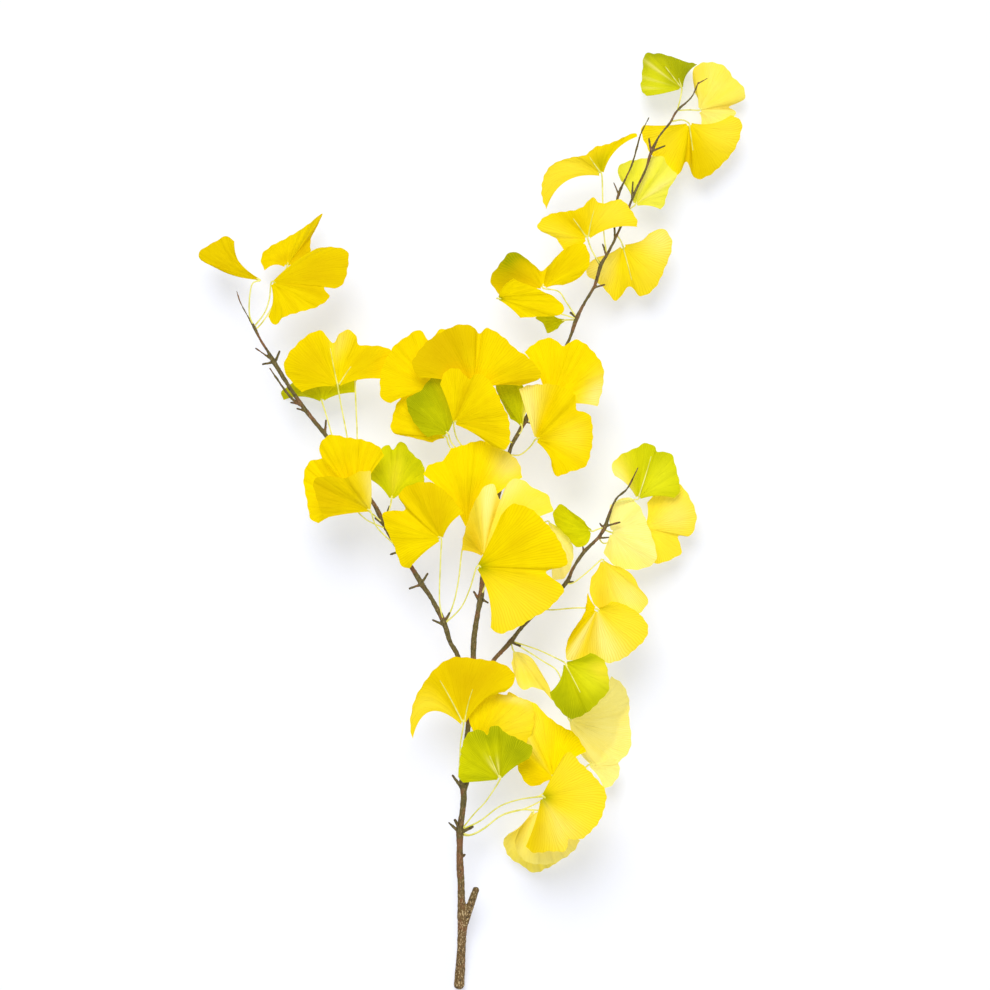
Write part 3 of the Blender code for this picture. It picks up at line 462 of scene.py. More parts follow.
                 green(0.55, 0.9, 0.1, 0.3, 0.3), lime(0.75, 0.5, 0.25, 0.6, 0.7))),
    Leaf("right_gold", Tone.GOLD, (644, 528, 36),
         ((646, 503), (655, 493), (665, 487), (678, 484), (690, 500), (695, 517), (690, 535), (677, 536),
          (681, 552), (670, 559), (657, 563), (645, 560)),
         (36, 30, 26, 30), ((632, 531, 36), (614, 540, 38), (603, 543, 43), (598, 537, 57)),
         folds=(Fold(0.4, 2, 0.1),), tints_and_light=(yellow(0.5, 0.5, 2, 2, 0.9), painted_highlight(0.4, 0.6, 0.15, 0.4, 0.4))),
    Leaf("right_pale", Tone.PALE, (610, 532, 50),
         ((603, 552), (614, 565), (628, 569), (645, 567), (655, 559), (652, 540), (645, 520), (636, 503),
          (625, 497), (609, 505)),
         (44, 42, 44, 50), ((607, 531, 52), (603, 529, 57)),
         waist=(0.0, -0.05), folds=(Fold(0.5, 2, 0.1),),
         tints_and_light=(painted_highlight(0.5, 0.5, 0.8, 0.8, 0.5), yellow(0.15, 0.8, 0.2, 0.4, 0.5))),
    Leaf("right_hang", Tone.GOLD, (601, 559, 60),
         ((591, 576), (589, 590), (594, 604), (608, 614), (628, 615), (641, 610), (647, 599), (638, 587),
          (631, 574), (618, 566)),
         (60, 64, 60), ((586, 572, 60), (573, 582, 58), (565, 583, 56)),
         folds=(Fold(0.4, -2, 0.06),),
         tints_and_light=(yellow(0.5, 0.5, 2, 2, 0.85), painted_highlight(0.55, 0.7, 0.15, 0.4, 0.6),
                 painted_shade(0.3, 0.8, 0.12, 0.4, 0.5))),
    Leaf("right_fold", Tone.GOLD, (596, 608, 68),
         ((587, 592), (583, 613), (568, 637), (566, 658), (580, 657), (592, 652), (602, 660), (612, 661),
          (625, 655), (642, 640), (647, 626), (638, 613), (624, 604), (610, 600)),
         (70, 68, 72, 76), ((576, 607, 63), (552, 609, 60), (540, 608, 57)),
         folds=(Fold(0.25, 3, 0.04), Fold(0.38, -3, 0.04), Fold(0.5, 3, 0.04)),
         tints_and_light=(painted_highlight(0.33, 0.6, 0.035, 0.8, 0.9), painted_highlight(0.54, 0.6, 0.09, 0.7, 0.8),
                 painted_shade(0.18, 0.7, 0.12, 0.6, 0.6), painted_shade(0.42, 0.5, 0.04, 0.6, 0.4),
                 yellow(0.75, 0.6, 0.25, 0.7, 0.85))),
    Leaf("right_olive", Tone.GREEN, (564, 661, 72),
         ((549, 691), (556, 704), (569, 716), (585, 711), (600, 697), (607, 688), (607, 670), (602, 658),
          (590, 651)),
         (76, 82, 86, 84), ((554, 656, 66), (536, 648, 60), (511, 640, 57)),
         ribs=(((580, 690),),), waist=(0.12, 0.05), folds=(Fold(0.35, -2, 0.06),),
         tints_and_light=(green(0.15, 0.7, 0.25, 0.6, 0.7), green(0.4, 0.95, 0.25, 0.2, 0.6),
                 green(0.97, 0.6, 0.1, 0.6, 0.6), yellow(0.8, 0.85, 0.1, 0.3, 0.8),
                 lime(0.65, 0.6, 0.15, 0.5, 0.7))),
    Leaf("right_fan", Tone.PALE, (568, 718, 36),
         ((611, 676), (624, 686), (629, 703), (630, 725), (630, 748), (619, 762), (605, 772), (588, 762)),
         (26, 4, -18, -18, -6), ((565, 700, 42), (558, 672, 50), (541, 659, 54), (514, 642, 57)),
         waist=(0.07, -0.08), tints_and_light=(yellow(0.3, 0.2, 0.5, 0.3, 0.4), painted_highlight(0.4, 0.7, 0.6, 0.6, 0.6))),
    Leaf("low_droop", Tone.GOLD, (464, 722, 66),
         ((413, 737), (411, 720), (414, 702), (424, 682), (436, 667), (453, 656), (472, 657), (495, 660),
          (512, 669), (514, 681), (505, 690)),
         (62, 68, 72, 70), ((461, 740, 61), (460, 758, 55), (459, 775, 49)),
         ribs=(((441, 678),), ((473, 688),)), waist=(0.4, 0.14), folds=(Fold(0.4, 3, 0.05),),
         tints_and_light=(painted_shade(0.65, 0.6, 0.35, 0.7, 0.9), yellow(0.12, 0.7, 0.14, 0.6, 0.9))),
    Leaf("low_slip", Tone.PALE, (513, 649, 51),
         ((511, 662), (520, 687), (532, 686), (543, 689), (553, 700), (548, 684), (538, 668)),
         (50, 44, 48), ((512, 646, 53), (511, 640, 57)),
         waist=(0.07, -0.16), folds=(Fold(0.5, 2, 0.08),),
         tints_and_light=(yellow(0.5, 0.6, 1, 0.8, 0.8), painted_shade(0.7, 0.7, 0.2, 0.5, 0.15))),
    Leaf("low_green", Tone.GREEN, (500, 777, 70),
         ((463, 780), (459, 772), (461, 752), (464, 738), (470, 730), (482, 728), (487, 733), (491, 725),
          (499, 725), (506, 731), (521, 738), (532, 745), (529, 756)),
         (68, 76, 74), ((486, 799, 58), (475, 811, 49), (461, 829, 38)),
         ribs=(((490, 753),),), waist=(0.0, 0.05), folds=(Fold(0.62, -3, 0.05),),
         tints_and_light=(green(0.85, 0.75, 0.25, 0.5, 0.95), green(0.5, 0.9, 0.15, 0.2, 0.7),
                 painted_highlight(0.4, 0.2, 0.04, 0.18, 0.5), painted_highlight(0.6, 0.18, 0.04, 0.16, 0.5),
                 green(0.05, 0.4, 0.1, 0.4, 0.4))),
    Leaf("low_shelf", Tone.GOLD, (478, 738, 58),
         ((469, 704), (478, 694), (503, 693), (530, 701), (533, 724), (526, 742)),
         (60, 59, 58), ((475, 750, 54), (464, 764, 48)),
         waist=(-0.1, 0.0), folds=(Fold(0.5, 1.5, 0.1),),
         tints_and_light=(yellow(0.7, 0.8, 0.25, 0.4, 0.7), painted_highlight(0.5, 0.95, 0.12, 0.08, 0.5))),
    Leaf("low_gold", Tone.GOLD, (553, 777, 54),
         ((540, 783), (528, 783), (519, 770), (516, 755), (512, 735), (508, 712), (508, 691), (520, 697),
          (535, 702), (546, 714), (560, 724), (575, 733), (586, 750)),
         (55, 51, 49, 48, 46),
         ((541, 793, 50), (520, 797.5, 48), (500, 804.5, 44), (480, 819.5, 40), (461, 829, 37)),
         folds=(Fold(0.3, -1, 0.08), Fold(0.45, 2, 0.08), Fold(0.6, -1, 0.08)),
         tints_and_light=(painted_highlight(0.42, 0.8, 0.08, 0.5, 0.4), painted_shade(0.12, 0.5, 0.15, 0.5, 0.5),
                 yellow(0.55, 0.8, 0.16, 0.4, 0.9))),
    Leaf("low_front", Tone.GOLD, (541, 794, 72),
         ((553, 772), (567, 750), (580, 760), (592, 772), (604, 787), (604, 803), (597, 820), (585, 833),
          (575, 836), (568, 836), (565, 847), (550, 848), (533, 849), (526, 843)),
         (76, 84, 84, 74), ((520, 797, 62), (500, 804, 54), (480, 819, 45), (461, 828, 38)),
         waist=(0.0, 0.04), folds=(Fold(0.62, 2, 0.06), Fold(0.8, 2, 0.04)),
         tints_and_light=(green(0.5, 0.0, 0.7, 0.14, 0.8), painted_highlight(0.75, 0.6, 0.12, 0.5, 0.4),
                 yellow(0.4, 0.7, 0.5, 0.5, 0.7), painted_shade(0.95, 0.6, 0.08, 0.6, 0.7))),
    Leaf("low_right_pale", Tone.PALE, (588, 764, 30),
         ((603, 788), (612, 783), (619, 773), (617, 762), (610, 756)),
         (30, 24, 26),
         ((560, 788, 33), (528, 806, 34), (502, 814, 35), (483, 828, 35), (470, 834, 35), (461, 833, 35)),
         tints_and_light=(painted_highlight(0.5, 0.6, 1.0, 1.0, 0.5),)),
    Leaf("low_behind", Tone.PALE, (533, 809, 44),
         ((509, 831), (503, 842), (511, 858), (523, 866), (535, 871), (547, 867), (557, 860)),
         (34, 14, 12, 28),
         ((521, 808, 44), (502, 813.5, 42), (483, 827.5, 39), (470, 833.5, 37), (461, 831, 36)),
         tints_and_light=(yellow(0.5, 0.5, 1, 1, 0.75), painted_shade(0.2, 0.6, 0.1, 0.6, 0.3))),
    Leaf("low_between", Tone.PALE, (538, 808, 58),
         ((519, 828), (515, 840), (518, 852), (528, 860), (545, 862), (560, 858), (573, 849), (579, 838)),
         (54, 46, 56), ((520, 808, 53), (502, 813, 49), (483, 827, 43), (470, 833, 40), (461, 830, 38)),
         waist=(-0.08, 0.0),
         tints_and_light=(yellow(0.5, 0.6, 0.8, 0.8, 0.6), painted_shade(0.08, 0.7, 0.16, 0.8, 1.0),
                 painted_highlight(0.65, 0.9, 0.35, 0.3, 0.6))),
    Leaf("right_leaf_green", Tone.GREEN, (592, 531, 60),
         ((575, 547), (566, 535), (555, 524), (553, 513), (560, 504), (570, 511), (584, 521)),
         (60, 60, 64), ((597, 529, 60), (604, 527, 57)),
         waist=(-0.22, 0.07)),
)


def place(point: Point) -> Vector:
    """Turn a board point into metres about the origin.

    Args:
        point: right, down and up on the board, in millimetres.

    Returns:
        The place in the frame.
    """
    right, down, up = point
    return Vector((right - BOARD_CENTRE[0], BOARD_CENTRE[1] - down, up)) * MM


def read_along(values: tuple[float, ...], share: float) -> float:
    """Read a list of values at a share of the way along it.

    Args:
        values: the values, evenly spread.
        share: the place, from 0 to 1.

    Returns:
        The value there, in proportion between its neighbours.
    """
    last = len(values) - 1
    index = min(int(share * last), last - 1)
    part = share * last - index
    return values[index] * (1 - part) + values[index + 1] * part


def smooth_point(points: list[Vector], index: int, part: float) -> Vector:
    """Point on the smooth curve through a row of points.

    Args:
        points: the row.
        index: the point before the wanted place.
        part: how far it is from that point to the next, from 0 to 1.

    Returns:
        The point on the curve.
    """
    before = points[max(index - 1, 0)]
    start, end = points[index], points[index + 1]
    after = points[min(index + 2, len(points) - 1)]
    square, cube = part ** 2, part ** 3
    return (start * (2 * cube - 3 * square + 1) + (end - before) * 0.5 * (cube - 2 * square + part)
            + end * (3 * square - 2 * cube) + (after - start) * 0.5 * (cube - square))


def deselect_all() -> None:
    """Leave nothing selected, so that an operator acts on the new piece alone."""
    for item in bpy.context.selected_objects:
        item.select_set(False)


def choose(item: bpy.types.Object) -> None:
    """Select one object and make it the active one."""
    deselect_all()
    item.select_set(True)
    bpy.context.view_layer.objects.active = item


def apply_modifiers(item: bpy.types.Object) -> None:
    """Apply every modifier of an object, in order."""
    choose(item)
    for modifier in list(item.modifiers):
        bpy.ops.object.modifier_apply(modifier=modifier.name)


def shaped_grid(name: str, columns: int, rows: int, shape: Shape) -> bpy.types.Object:
    """Add a flat grid and bend it into a piece.

    Args:
        name: the piece's name.
        columns: faces across.
        rows: faces along.
        shape: gives the place of a point from its shares across and along the grid.

    Returns:
        The bent grid, with the flat grid's own UV map.
    """
    deselect_all()
    bpy.ops.mesh.primitive_grid_add(x_subdivisions=columns, y_subdivisions=rows, size=1, calc_uvs=True)
    piece = bpy.context.active_object
    piece.name = name
    for vertex in piece.data.vertices:
        vertex.co = shape(vertex.co.x + 0.5, vertex.co.y + 0.5)
    return piece


def merge_seams(piece: bpy.types.Object, distance: float) -> None:
    """Close a bent grid's seam and poles, and point its faces outwards."""
    choose(piece)
    bpy.ops.object.mode_set(mode="EDIT")
    bpy.ops.mesh.select_all(action="SELECT")
    bpy.ops.mesh.remove_doubles(threshold=distance)
    bpy.ops.mesh.normals_make_consistent(inside=False)
    bpy.ops.object.mode_set(mode="OBJECT")


def join_pieces(pieces: list[bpy.types.Object]) -> bpy.types.Object:
    """Join pieces into the first one of them."""
    choose(pieces[0])
    for piece in pieces:
        piece.select_set(True)
    if len(pieces) > 1:
        bpy.ops.object.join()
    return pieces[0]


def finish_piece(piece: bpy.types.Object, material: bpy.types.Material, slot: str, node: str) -> None:
    """Give a piece its material, and put it in the place of a solid.

    Args:
        piece: the finished mesh.
        material: its material.
        slot: the record's slot for it; not used.
        node: the solid that it stands for.
    """
    piece.data.materials.append(material)
    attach(piece, BODY)
    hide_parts(node)


class Rod:
    """Round moulded rod on a smooth path, with rounded ends."""

    def __init__(self, places: list[Vector], radii: list[float]) -> None:
        """Lay out the rings of the rod.

        Args:
            places: the points that the path goes through.
            radii: the radius at each of them.
        """
        self.centres: list[Vector] = []
        self.radii: list[float] = []
        for i in range(len(places) - 1):
            count = max(1, ceil((places[i + 1] - places[i]).length / (ROD_STEP * MM)))
            for k in range(count):
                self.centres.append(smooth_point(places, i, k / count))
                self.radii.append(radii[i] + (radii[i + 1] - radii[i]) * k / count)
        self.centres.append(places[-1])
        self.radii.append(radii[-1])
        self._round_the_ends()
        self.sides = self._sides()

    def _round_the_ends(self) -> None:
        """Add two smaller rings and a pole at both ends."""
        for _ in ("start", "end"):
            end, radius = self.centres[0], self.radii[0]
            back = (end - self.centres[1]).normalized()
            extra = [(end + back * radius * rise, radius * size) for rise, size in ROUND_END]
            self.centres = [centre for centre, _ in reversed(extra)] + self.centres
            self.radii = [size for _, size in reversed(extra)] + self.radii
            self.centres.reverse()
            self.radii.reverse()

    def _sides(self) -> list[tuple[Vector, Vector]]:
        """Two directions across the path at every ring, without a twist."""
        last = len(self.centres) - 1
        result = []
        side = (self.centres[1] - self.centres[0]).orthogonal().normalized()
        for i in range(last + 1):
            heading = (self.centres[min(i + 1, last)] - self.centres[max(i - 1, 0)]).normalized()
            side = (side - heading * side.dot(heading)).normalized()
            result.append((side, heading.cross(side)))
        return result

    def point(self, around: float, along: float) -> Vector:
        """Place on the rod's skin at shares around and along it."""
        ring = round(along * (len(self.centres) - 1))
        side, other = self.sides[ring]
        turn = tau * around
        return self.centres[ring] + (side * cos(turn) + other * sin(turn)) * self.radii[ring]

    def build(self, name: str, faces_round: int) -> bpy.types.Object:
        """Make the rod's mesh.

        Args:
            name: the piece's name.
            faces_round: faces around it.

        Returns:
            The closed rod.
        """
        rod = shaped_grid(name, faces_round, len(self.centres) - 1, self.point)
        merge_seams(rod, SEAM_MERGE)
        return rod


class Fan:
    """Surface of one leaf's blade, from its seat (along 0) to its free edge (along 1)."""

    def __init__(self, leaf: Leaf) -> None:
        """Work out the free edge, the way up, and this leaf's own ripples."""
        self.leaf = leaf
        self.seat = place(leaf.seat)
        self.edge = self._edge()
        self.up = self._upward()
        self.middle = sum((point - self.seat for point in self.edge), Vector()).normalized()
        chance = Random(leaf.name)
        self.ripples = [
            (chance.uniform(low, high), chance.random(), chance.uniform(*RIPPLE_SIZES) * size * MM)
            for low, high, size in RIPPLES]
        self.curl = chance.uniform(*CURL) * MM
        self.scallops = round(self.length() / chance.uniform(*SCALLOP) / MM)
        self.scallop_turn = chance.random()
        self.depth = chance.uniform(0.0, 1.0)

    def _edge(self) -> list[Vector]:
        """Points along the free edge, evenly spread."""
        rim, last = self.leaf.rim, len(self.leaf.rim) - 1
        marks = [place((*spot, read_along(self.leaf.heights, i / last))) for i, spot in enumerate(rim)]
        fine = [smooth_point(marks, i, k / EDGE_PARTS) for i in range(last) for k in range(EDGE_PARTS)]
        fine.append(marks[last])
        reached = [0.0]
        for first, second in zip(fine, fine[1:]):
            reached.append(reached[-1] + (second - first).length)
        count = max(FEWEST_COLUMNS, min(MOST_COLUMNS, round(reached[-1] / (COLUMN_STEP * MM))))
        edge, index = [], 0
        for column in range(count + 1):
            wanted = reached[-1] * column / count
            while index < len(fine) - 2 and reached[index + 1] < wanted:
                index += 1
            part = (wanted - reached[index]) / (reached[index + 1] - reached[index])
            edge.append(fine[index].lerp(fine[index + 1], part))
        return edge

    def _upward(self) -> Vector:
        """Normal of the whole fan that points up."""
        total = Vector()
        for first, second in zip(self.edge, self.edge[1:]):
            total += (first - self.seat).cross(second - self.seat)
        total.normalize()
        return total if total.z > 0 else -total

    def length(self) -> float:
        """Length of the free edge."""
        return sum((second - first).length for first, second in zip(self.edge, self.edge[1:]))

    def _edge_point(self, across: float) -> Vector:
        """Place on the free edge at a share of its length."""
        last = len(self.edge) - 1
        index = min(int(across * last), last - 1)
        return self.edge[index].lerp(self.edge[index + 1], across * last - index)

    def _waist(self, across: float, along: float) -> Vector:
        """How far the two side edges are bent inwards."""
        total = Vector()
        for end, share, amount in ((self.edge[0], across, self.leaf.waist[0]),
                                   (self.edge[-1], 1 - across, self.leaf.waist[1])):
            if share < WAIST_REACH:
                side = end - self.seat
                inward = self.middle - side * self.middle.dot(side) / side.length_squared
                inward.normalize()
                ease = (1 - share / WAIST_REACH) ** WAIST_EASE
                total += inward * side.length * amount * 4 * along * (1 - along) * ease
        return total

    def _rise(self, across: float, along: float) -> float:
        """Height of ripples, folds and curl above the smooth fan."""
        total = sum(size * sin(tau * (count * across + turn)) for count, turn, size in self.ripples)
        total = total * along ** RIPPLE_POWER + self.curl * along ** CURL_POWER
        ease = min(1, FOLD_EASE * along)
        for fold in self.leaf.folds:
            total += fold.rise * MM * exp(-((across - fold.across) / fold.width) ** 2) * ease
        return total

    def point(self, across: float, along: float) -> Vector:
        """Place in the middle of the cloth at shares across and along the fan."""
        edge = self._edge_point(across)
        reach = edge - self.seat
        start = min(SEAT_RADIUS * MM / reach.length, LARGEST_SEAT_SHARE)
        point = self.seat + reach * (start + (1 - start) * along)
        point += self.up * (reach.length * BOW * 4 * along * (1 - along) + HALF_BLADE * MM)
        point += self.up * self._rise(across, along) + self._waist(across, along)
        if along > SCALLOP_START:
            wave = sin(tau * (self.scallops * across + self.scallop_turn))
            wave += SLOW_SCALLOP_SHARE * sin(tau * (self.scallops * SLOW_SCALLOP * across))
            part = (along - SCALLOP_START) / (1 - SCALLOP_START)
            point += reach.normalized() * wave * SCALLOP_DEPTH * MM * part ** 2
        point.z = max(point.z, LOWEST * MM)
        return point

    def shares_at(self, spot: Spot) -> tuple[float, float]:
        """Shares across and along the fan of the place that lies over a board spot."""
        wanted = place((*spot, 0)).xy
        steps = range(SEARCH_STEPS + 1)
        places = ((i / SEARCH_STEPS, k / SEARCH_STEPS) for i in steps for k in steps)
        return min(places, key=lambda shares: (self.point(*shares).xy - wanted).length)


class LeafPiece:
    """Cloth blade of a leaf, and its moulded stalk with the ribs."""

    def __init__(self, leaf: Leaf) -> None:
        """Take the leaf's sizes."""
        self.leaf = leaf
        self.fan = Fan(leaf)

    def build_blade(self) -> bpy.types.Object:
        """Make the blade, with its colour patches, painted shade and highlights among them, as attributes of
        its points.
        """
        columns = len(self.fan.edge) - 1
        shares: list[Spot] = []

        def shape(across: float, along: float) -> Vector:
            """Bend a grid point onto the fan, and keep its shares."""
            shares.append((across, along))
            return self.fan.point(across, along)

        blade = shaped_grid(self.leaf.name + "_blade", columns, BLADE_ROWS, shape)
        for hue in Hue:
            mask = blade.data.attributes.new(hue.value, "FLOAT", "POINT")
            own = [spray for spray in self.leaf.tints_and_light if spray.hue is hue]
            for value, (across, along) in zip(mask.data, shares):
                value.value = min(1.0, sum(spray.weight(across, along) for spray in own))
        deep = blade.data.attributes.new("dye_depth", "FLOAT", "POINT")
        for value in deep.data:
            value.value = self.fan.depth
        wall = blade.modifiers.new("cloth", "SOLIDIFY")
        wall.thickness = CLOTH_THICKNESS * MM
        wall.offset = 0
        apply_modifiers(blade)
        choose(blade)
        bpy.ops.object.shade_smooth_by_angle(angle=SMOOTH_ANGLE)
        return blade

    def _rib(self, across: float, along: float, top: bool) -> Rod:
        """One rib from the seat to a place on the fan, over or under the cloth."""
        count = max(FEWEST_RIB_STEPS, round(along * RIB_STEPS))
        lift = self.fan.up * (TOP_RIB_LIFT if top else -HIDDEN_RIB_DROP) * MM
        thick, thin = RIB_RADII
        places, radii = [], []
        for i in range(count + 1):
            point = self.fan.point(across, along * i / count) + lift
            point.z = max(point.z, thick * MM)
            places.append(point)
            radii.append((thick + (thin - thick) * i / count) * MM)
        return Rod(places, radii)

    def build_stalk(self) -> bpy.types.Object:
        """Make the stalk and the ribs, moulded in one."""
        leaf, fan = self.leaf, self.fan
        middle = fan.seat + fan.up * HALF_BLADE * MM
        route = [middle + fan.middle * STALK_ROOT * MM, middle] + [place(point) for point in leaf.stalk]
        thick, thin = STALK_RADII
        radii = [thick * MM] * 2 + [thin * MM] * (len(leaf.stalk) - 1) + [thick * MM]
        rods = [Rod(route, radii).build(leaf.name + "_stalk", STALK_FACES)]
        if leaf.ribs:
            ends = [(fan.shares_at(rib[-1]), True) for rib in leaf.ribs]
        else:
            ends = [((across, HIDDEN_RIB_LENGTH), False) for across in HIDDEN_RIBS]
        for (across, along), top in ends:
            rods.append(self._rib(across, along, top).build(leaf.name + "_rib", RIB_FACES))
        stalk = join_pieces(rods)
        choose(stalk)
        bpy.ops.object.shade_smooth()
        return stalk

    def dress(self, looks: "Looks") -> list[bpy.types.Object]:
        """Build both pieces and give them their finishes."""
        blade, stalk = self.build_blade(), self.build_stalk()
        finish_piece(blade, looks.cloth[self.leaf.tone], self.leaf.tone.value, self.leaf.name)
        finish_piece(stalk, looks.stalk, Tone.PALE.value, self.leaf.name)
        return [blade, stalk]


class TwigPiece:
    """One brown stem piece: moulded bark with knots and pegs."""

    def __init__(self, twig: Twig) -> None:
        """Take the twig's sizes."""
        self.twig = twig

    def _roughen(self, piece: bpy.types.Object) -> None:
        """Push the skin in and out as bark, along its normals."""
        outward = [vertex.normal.copy() for vertex in piece.data.vertices]
        for vertex, normal in zip(piece.data.vertices, outward):
            push = sum(noise.noise(vertex.co / (size * MM)) * depth * MM for size, depth in BARK_RELIEF)
            vertex.co += normal * push
            vertex.co.z = max(vertex.co.z, 0.0)

    def _mark_pegs(self, piece: bpy.types.Object) -> None:
        """Write how near each point is to the tip of a peg, for the bark's colour."""
        mask = piece.data.attributes.new("peg_tip", "FLOAT", "POINT")
        tips = [place(tip) for _, tip, _, _ in self.twig.pegs]
        for value, vertex in zip(mask.data, piece.data.vertices):
            nearest = min(((vertex.co - tip).length for tip in tips), default=1.0)
            value.value = max(0.0, 1 - nearest / (PEG_SHADE * MM))

    def build(self) -> bpy.types.Object:
        """Make the bark."""
        twig = self.twig
        places = [place(point[:3]) for point in twig.course]
        rods = [Rod(places, [(point[3] / 2 - BARK_TRIM) * MM for point in twig.course])]
        for root, tip, wide, narrow in twig.pegs:
            rods.append(Rod([place(root), place(tip)], [wide * MM / 2, narrow * MM / 2]))
        bark = join_pieces([rod.build(twig.name + "_bark", BARK_FACES) for rod in rods])
        whole = bark.modifiers.new("whole", "REMESH")
        whole.mode = "VOXEL"
        whole.voxel_size = BARK_VOXEL * MM
        apply_modifiers(bark)
        self._roughen(bark)
        self._mark_pegs(bark)
        choose(bark)
        bpy.ops.object.shade_smooth()
        return bark

    def dress(self, looks: "Looks") -> list[bpy.types.Object]:
        """Build the bark and give it its finish."""
        bark = self.build()
        finish_piece(bark, looks.bark, "bark", self.twig.name)
        return [bark]


@dataclass(frozen=True)
class Noise:
    """One noise texture: its scale, its detail and its roughness."""

    scale: float
    detail: float = 2
    rough: float = 0.5


# Veins over the fan's own map
WAVER_STRETCH = (9, 2.5, 0)
WAVER_TURNS = 1.5
RIDGE_POWER = 4
FORK_SPAN = (0.35, 0.6)
VEIN_START_SPAN = (0.02, 0.15)
STREAK_STRETCH = (16, 1.1, 0)
STREAK_SPAN = (0.33, 0.67)

# Noises of the veins and of the cloth
WAVER = Noise(1)
STREAK = Noise(1, 3, 0.6)
CLOUD = Noise(45, 4, 0.55)
CLOUD_SPAN = (0.3, 0.7)
WEAVE = Noise(1800, 2, 0.6)
WEAVE_SPAN = (0.3, 0.7)


class Graph:
    """Short ways to add and join the nodes of one shader tree."""

    def __init__(self, tree: bpy.types.NodeTree) -> None:
        """Work in a tree."""
        self.tree = tree

    def add(self, kind: str, **settings: str | bpy.types.NodeTree) -> bpy.types.Node:
        """Add a node and set its properties."""
        node = self.tree.nodes.new(kind)
        for key, value in settings.items():
            setattr(node, key, value)
        return node

    def feed(self, socket: bpy.types.NodeSocket, value: Value) -> None:
        """Give an input either a plain value or another node's output."""
        if isinstance(value, bpy.types.NodeSocket):
            self.tree.links.new(value, socket)
        elif socket.type == "RGBA":
            socket.default_value = (*value, 1)
        else:
            socket.default_value = value

    def math(self, operation: str, *values: Value) -> bpy.types.NodeSocket:
        """Result of a Math node."""
        node = self.add("ShaderNodeMath", operation=operation)
        for socket, value in zip(node.inputs, values):
            self.feed(socket, value)
        return node.outputs[0]

    def times(self, first: Value, second: Value) -> bpy.types.NodeSocket:
        """Product of two values."""
        return self.math("MULTIPLY", first, second)

    def span(self, value: Value, source: Span, target: Span = (0, 1)) -> bpy.types.NodeSocket:
        """Value moved smoothly from one range to another."""
        node = self.add("ShaderNodeMapRange", interpolation_type="SMOOTHSTEP")
        for socket, number in zip(node.inputs, (value, *source, *target)):
            self.feed(socket, number)
        return node.outputs[0]

    def mix(self, share: Value, first: Value, second: Value) -> bpy.types.NodeSocket:
        """Mixture of two colours."""
        node = self.add("ShaderNodeMix", data_type="RGBA")
        for index, value in zip(MIX_INPUTS, (share, first, second)):
            self.feed(node.inputs[index], value)
        return node.outputs[MIX_RESULT]

    def stretch(self, where: bpy.types.NodeSocket, factors: Point) -> bpy.types.NodeSocket:
        """Place scaled by its own factor along each axis."""
        node = self.add("ShaderNodeVectorMath", operation="MULTIPLY")
        self.feed(node.inputs[0], where)
        self.feed(node.inputs[1], factors)
        return node.outputs[0]

    def parts(self, where: bpy.types.NodeSocket) -> bpy.types.NodeOutputs:
        """Three parts of a place."""
        node = self.add("ShaderNodeSeparateXYZ")
        self.feed(node.inputs[0], where)
        return node.outputs

    def noise(self, where: bpy.types.NodeSocket, kind: Noise) -> bpy.types.NodeSocket:
        """Noise value at a place."""
        node = self.add("ShaderNodeTexNoise")
        self.feed(node.inputs["Vector"], where)
        self.feed(node.inputs["Scale"], kind.scale)
        self.feed(node.inputs["Detail"], kind.detail)
        self.feed(node.inputs["Roughness"], kind.rough)
        return node.outputs["Fac"]

    def mask(self, name: str) -> bpy.types.NodeSocket:
        """Value of an attribute of the piece's points."""
        return self.add("ShaderNodeAttribute", attribute_name=name).outputs["Fac"]

    def bump(self, height: Value, relief: Span,
             under: bpy.types.NodeSocket | None = None) -> bpy.types.NodeSocket:
        """Normal of a relief, on top of another one.

        Args:
            height: the relief's height, from 0 to 1.
            relief: its strength, and its depth in millimetres.
            under: the normal below it, if there is one.

        Returns:
            The new normal.
        """
        strength, depth = relief
        node = self.add("ShaderNodeBump")
        self.feed(node.inputs["Strength"], strength)
        self.feed(node.inputs["Distance"], depth * MM)
        self.feed(node.inputs["Height"], height)
        if under is not None:
            self.feed(node.inputs["Normal"], under)
        return node.outputs["Normal"]


def group_of(name: str, inputs: tuple[tuple[str, str], ...], outputs: tuple[str, ...]) -> Graph:
    """Start a shader node group.

    Args:
        name: the group's name.
        inputs: the name and the socket kind of each input.
        outputs: the names of its value outputs.

    Returns:
        The graph of the group, which has its input and output nodes.
    """
    tree = bpy.data.node_groups.new(name, "ShaderNodeTree")
    for label, kind in inputs:
        tree.interface.new_socket(label, in_out="INPUT", socket_type=kind)
    for label in outputs:
        tree.interface.new_socket(label, in_out="OUTPUT", socket_type="NodeSocketFloat")
    tree.nodes.new("NodeGroupInput")
    tree.nodes.new("NodeGroupOutput")
    return Graph(tree)


def start_material(name: str) -> tuple[bpy.types.Material, Graph, bpy.types.Node]:
    """Start a material, and give it with its graph and its shader."""
    material = bpy.data.materials.new(name)
    material.use_nodes = True
    return material, Graph(material.node_tree), material.node_tree.nodes["Principled BSDF"]


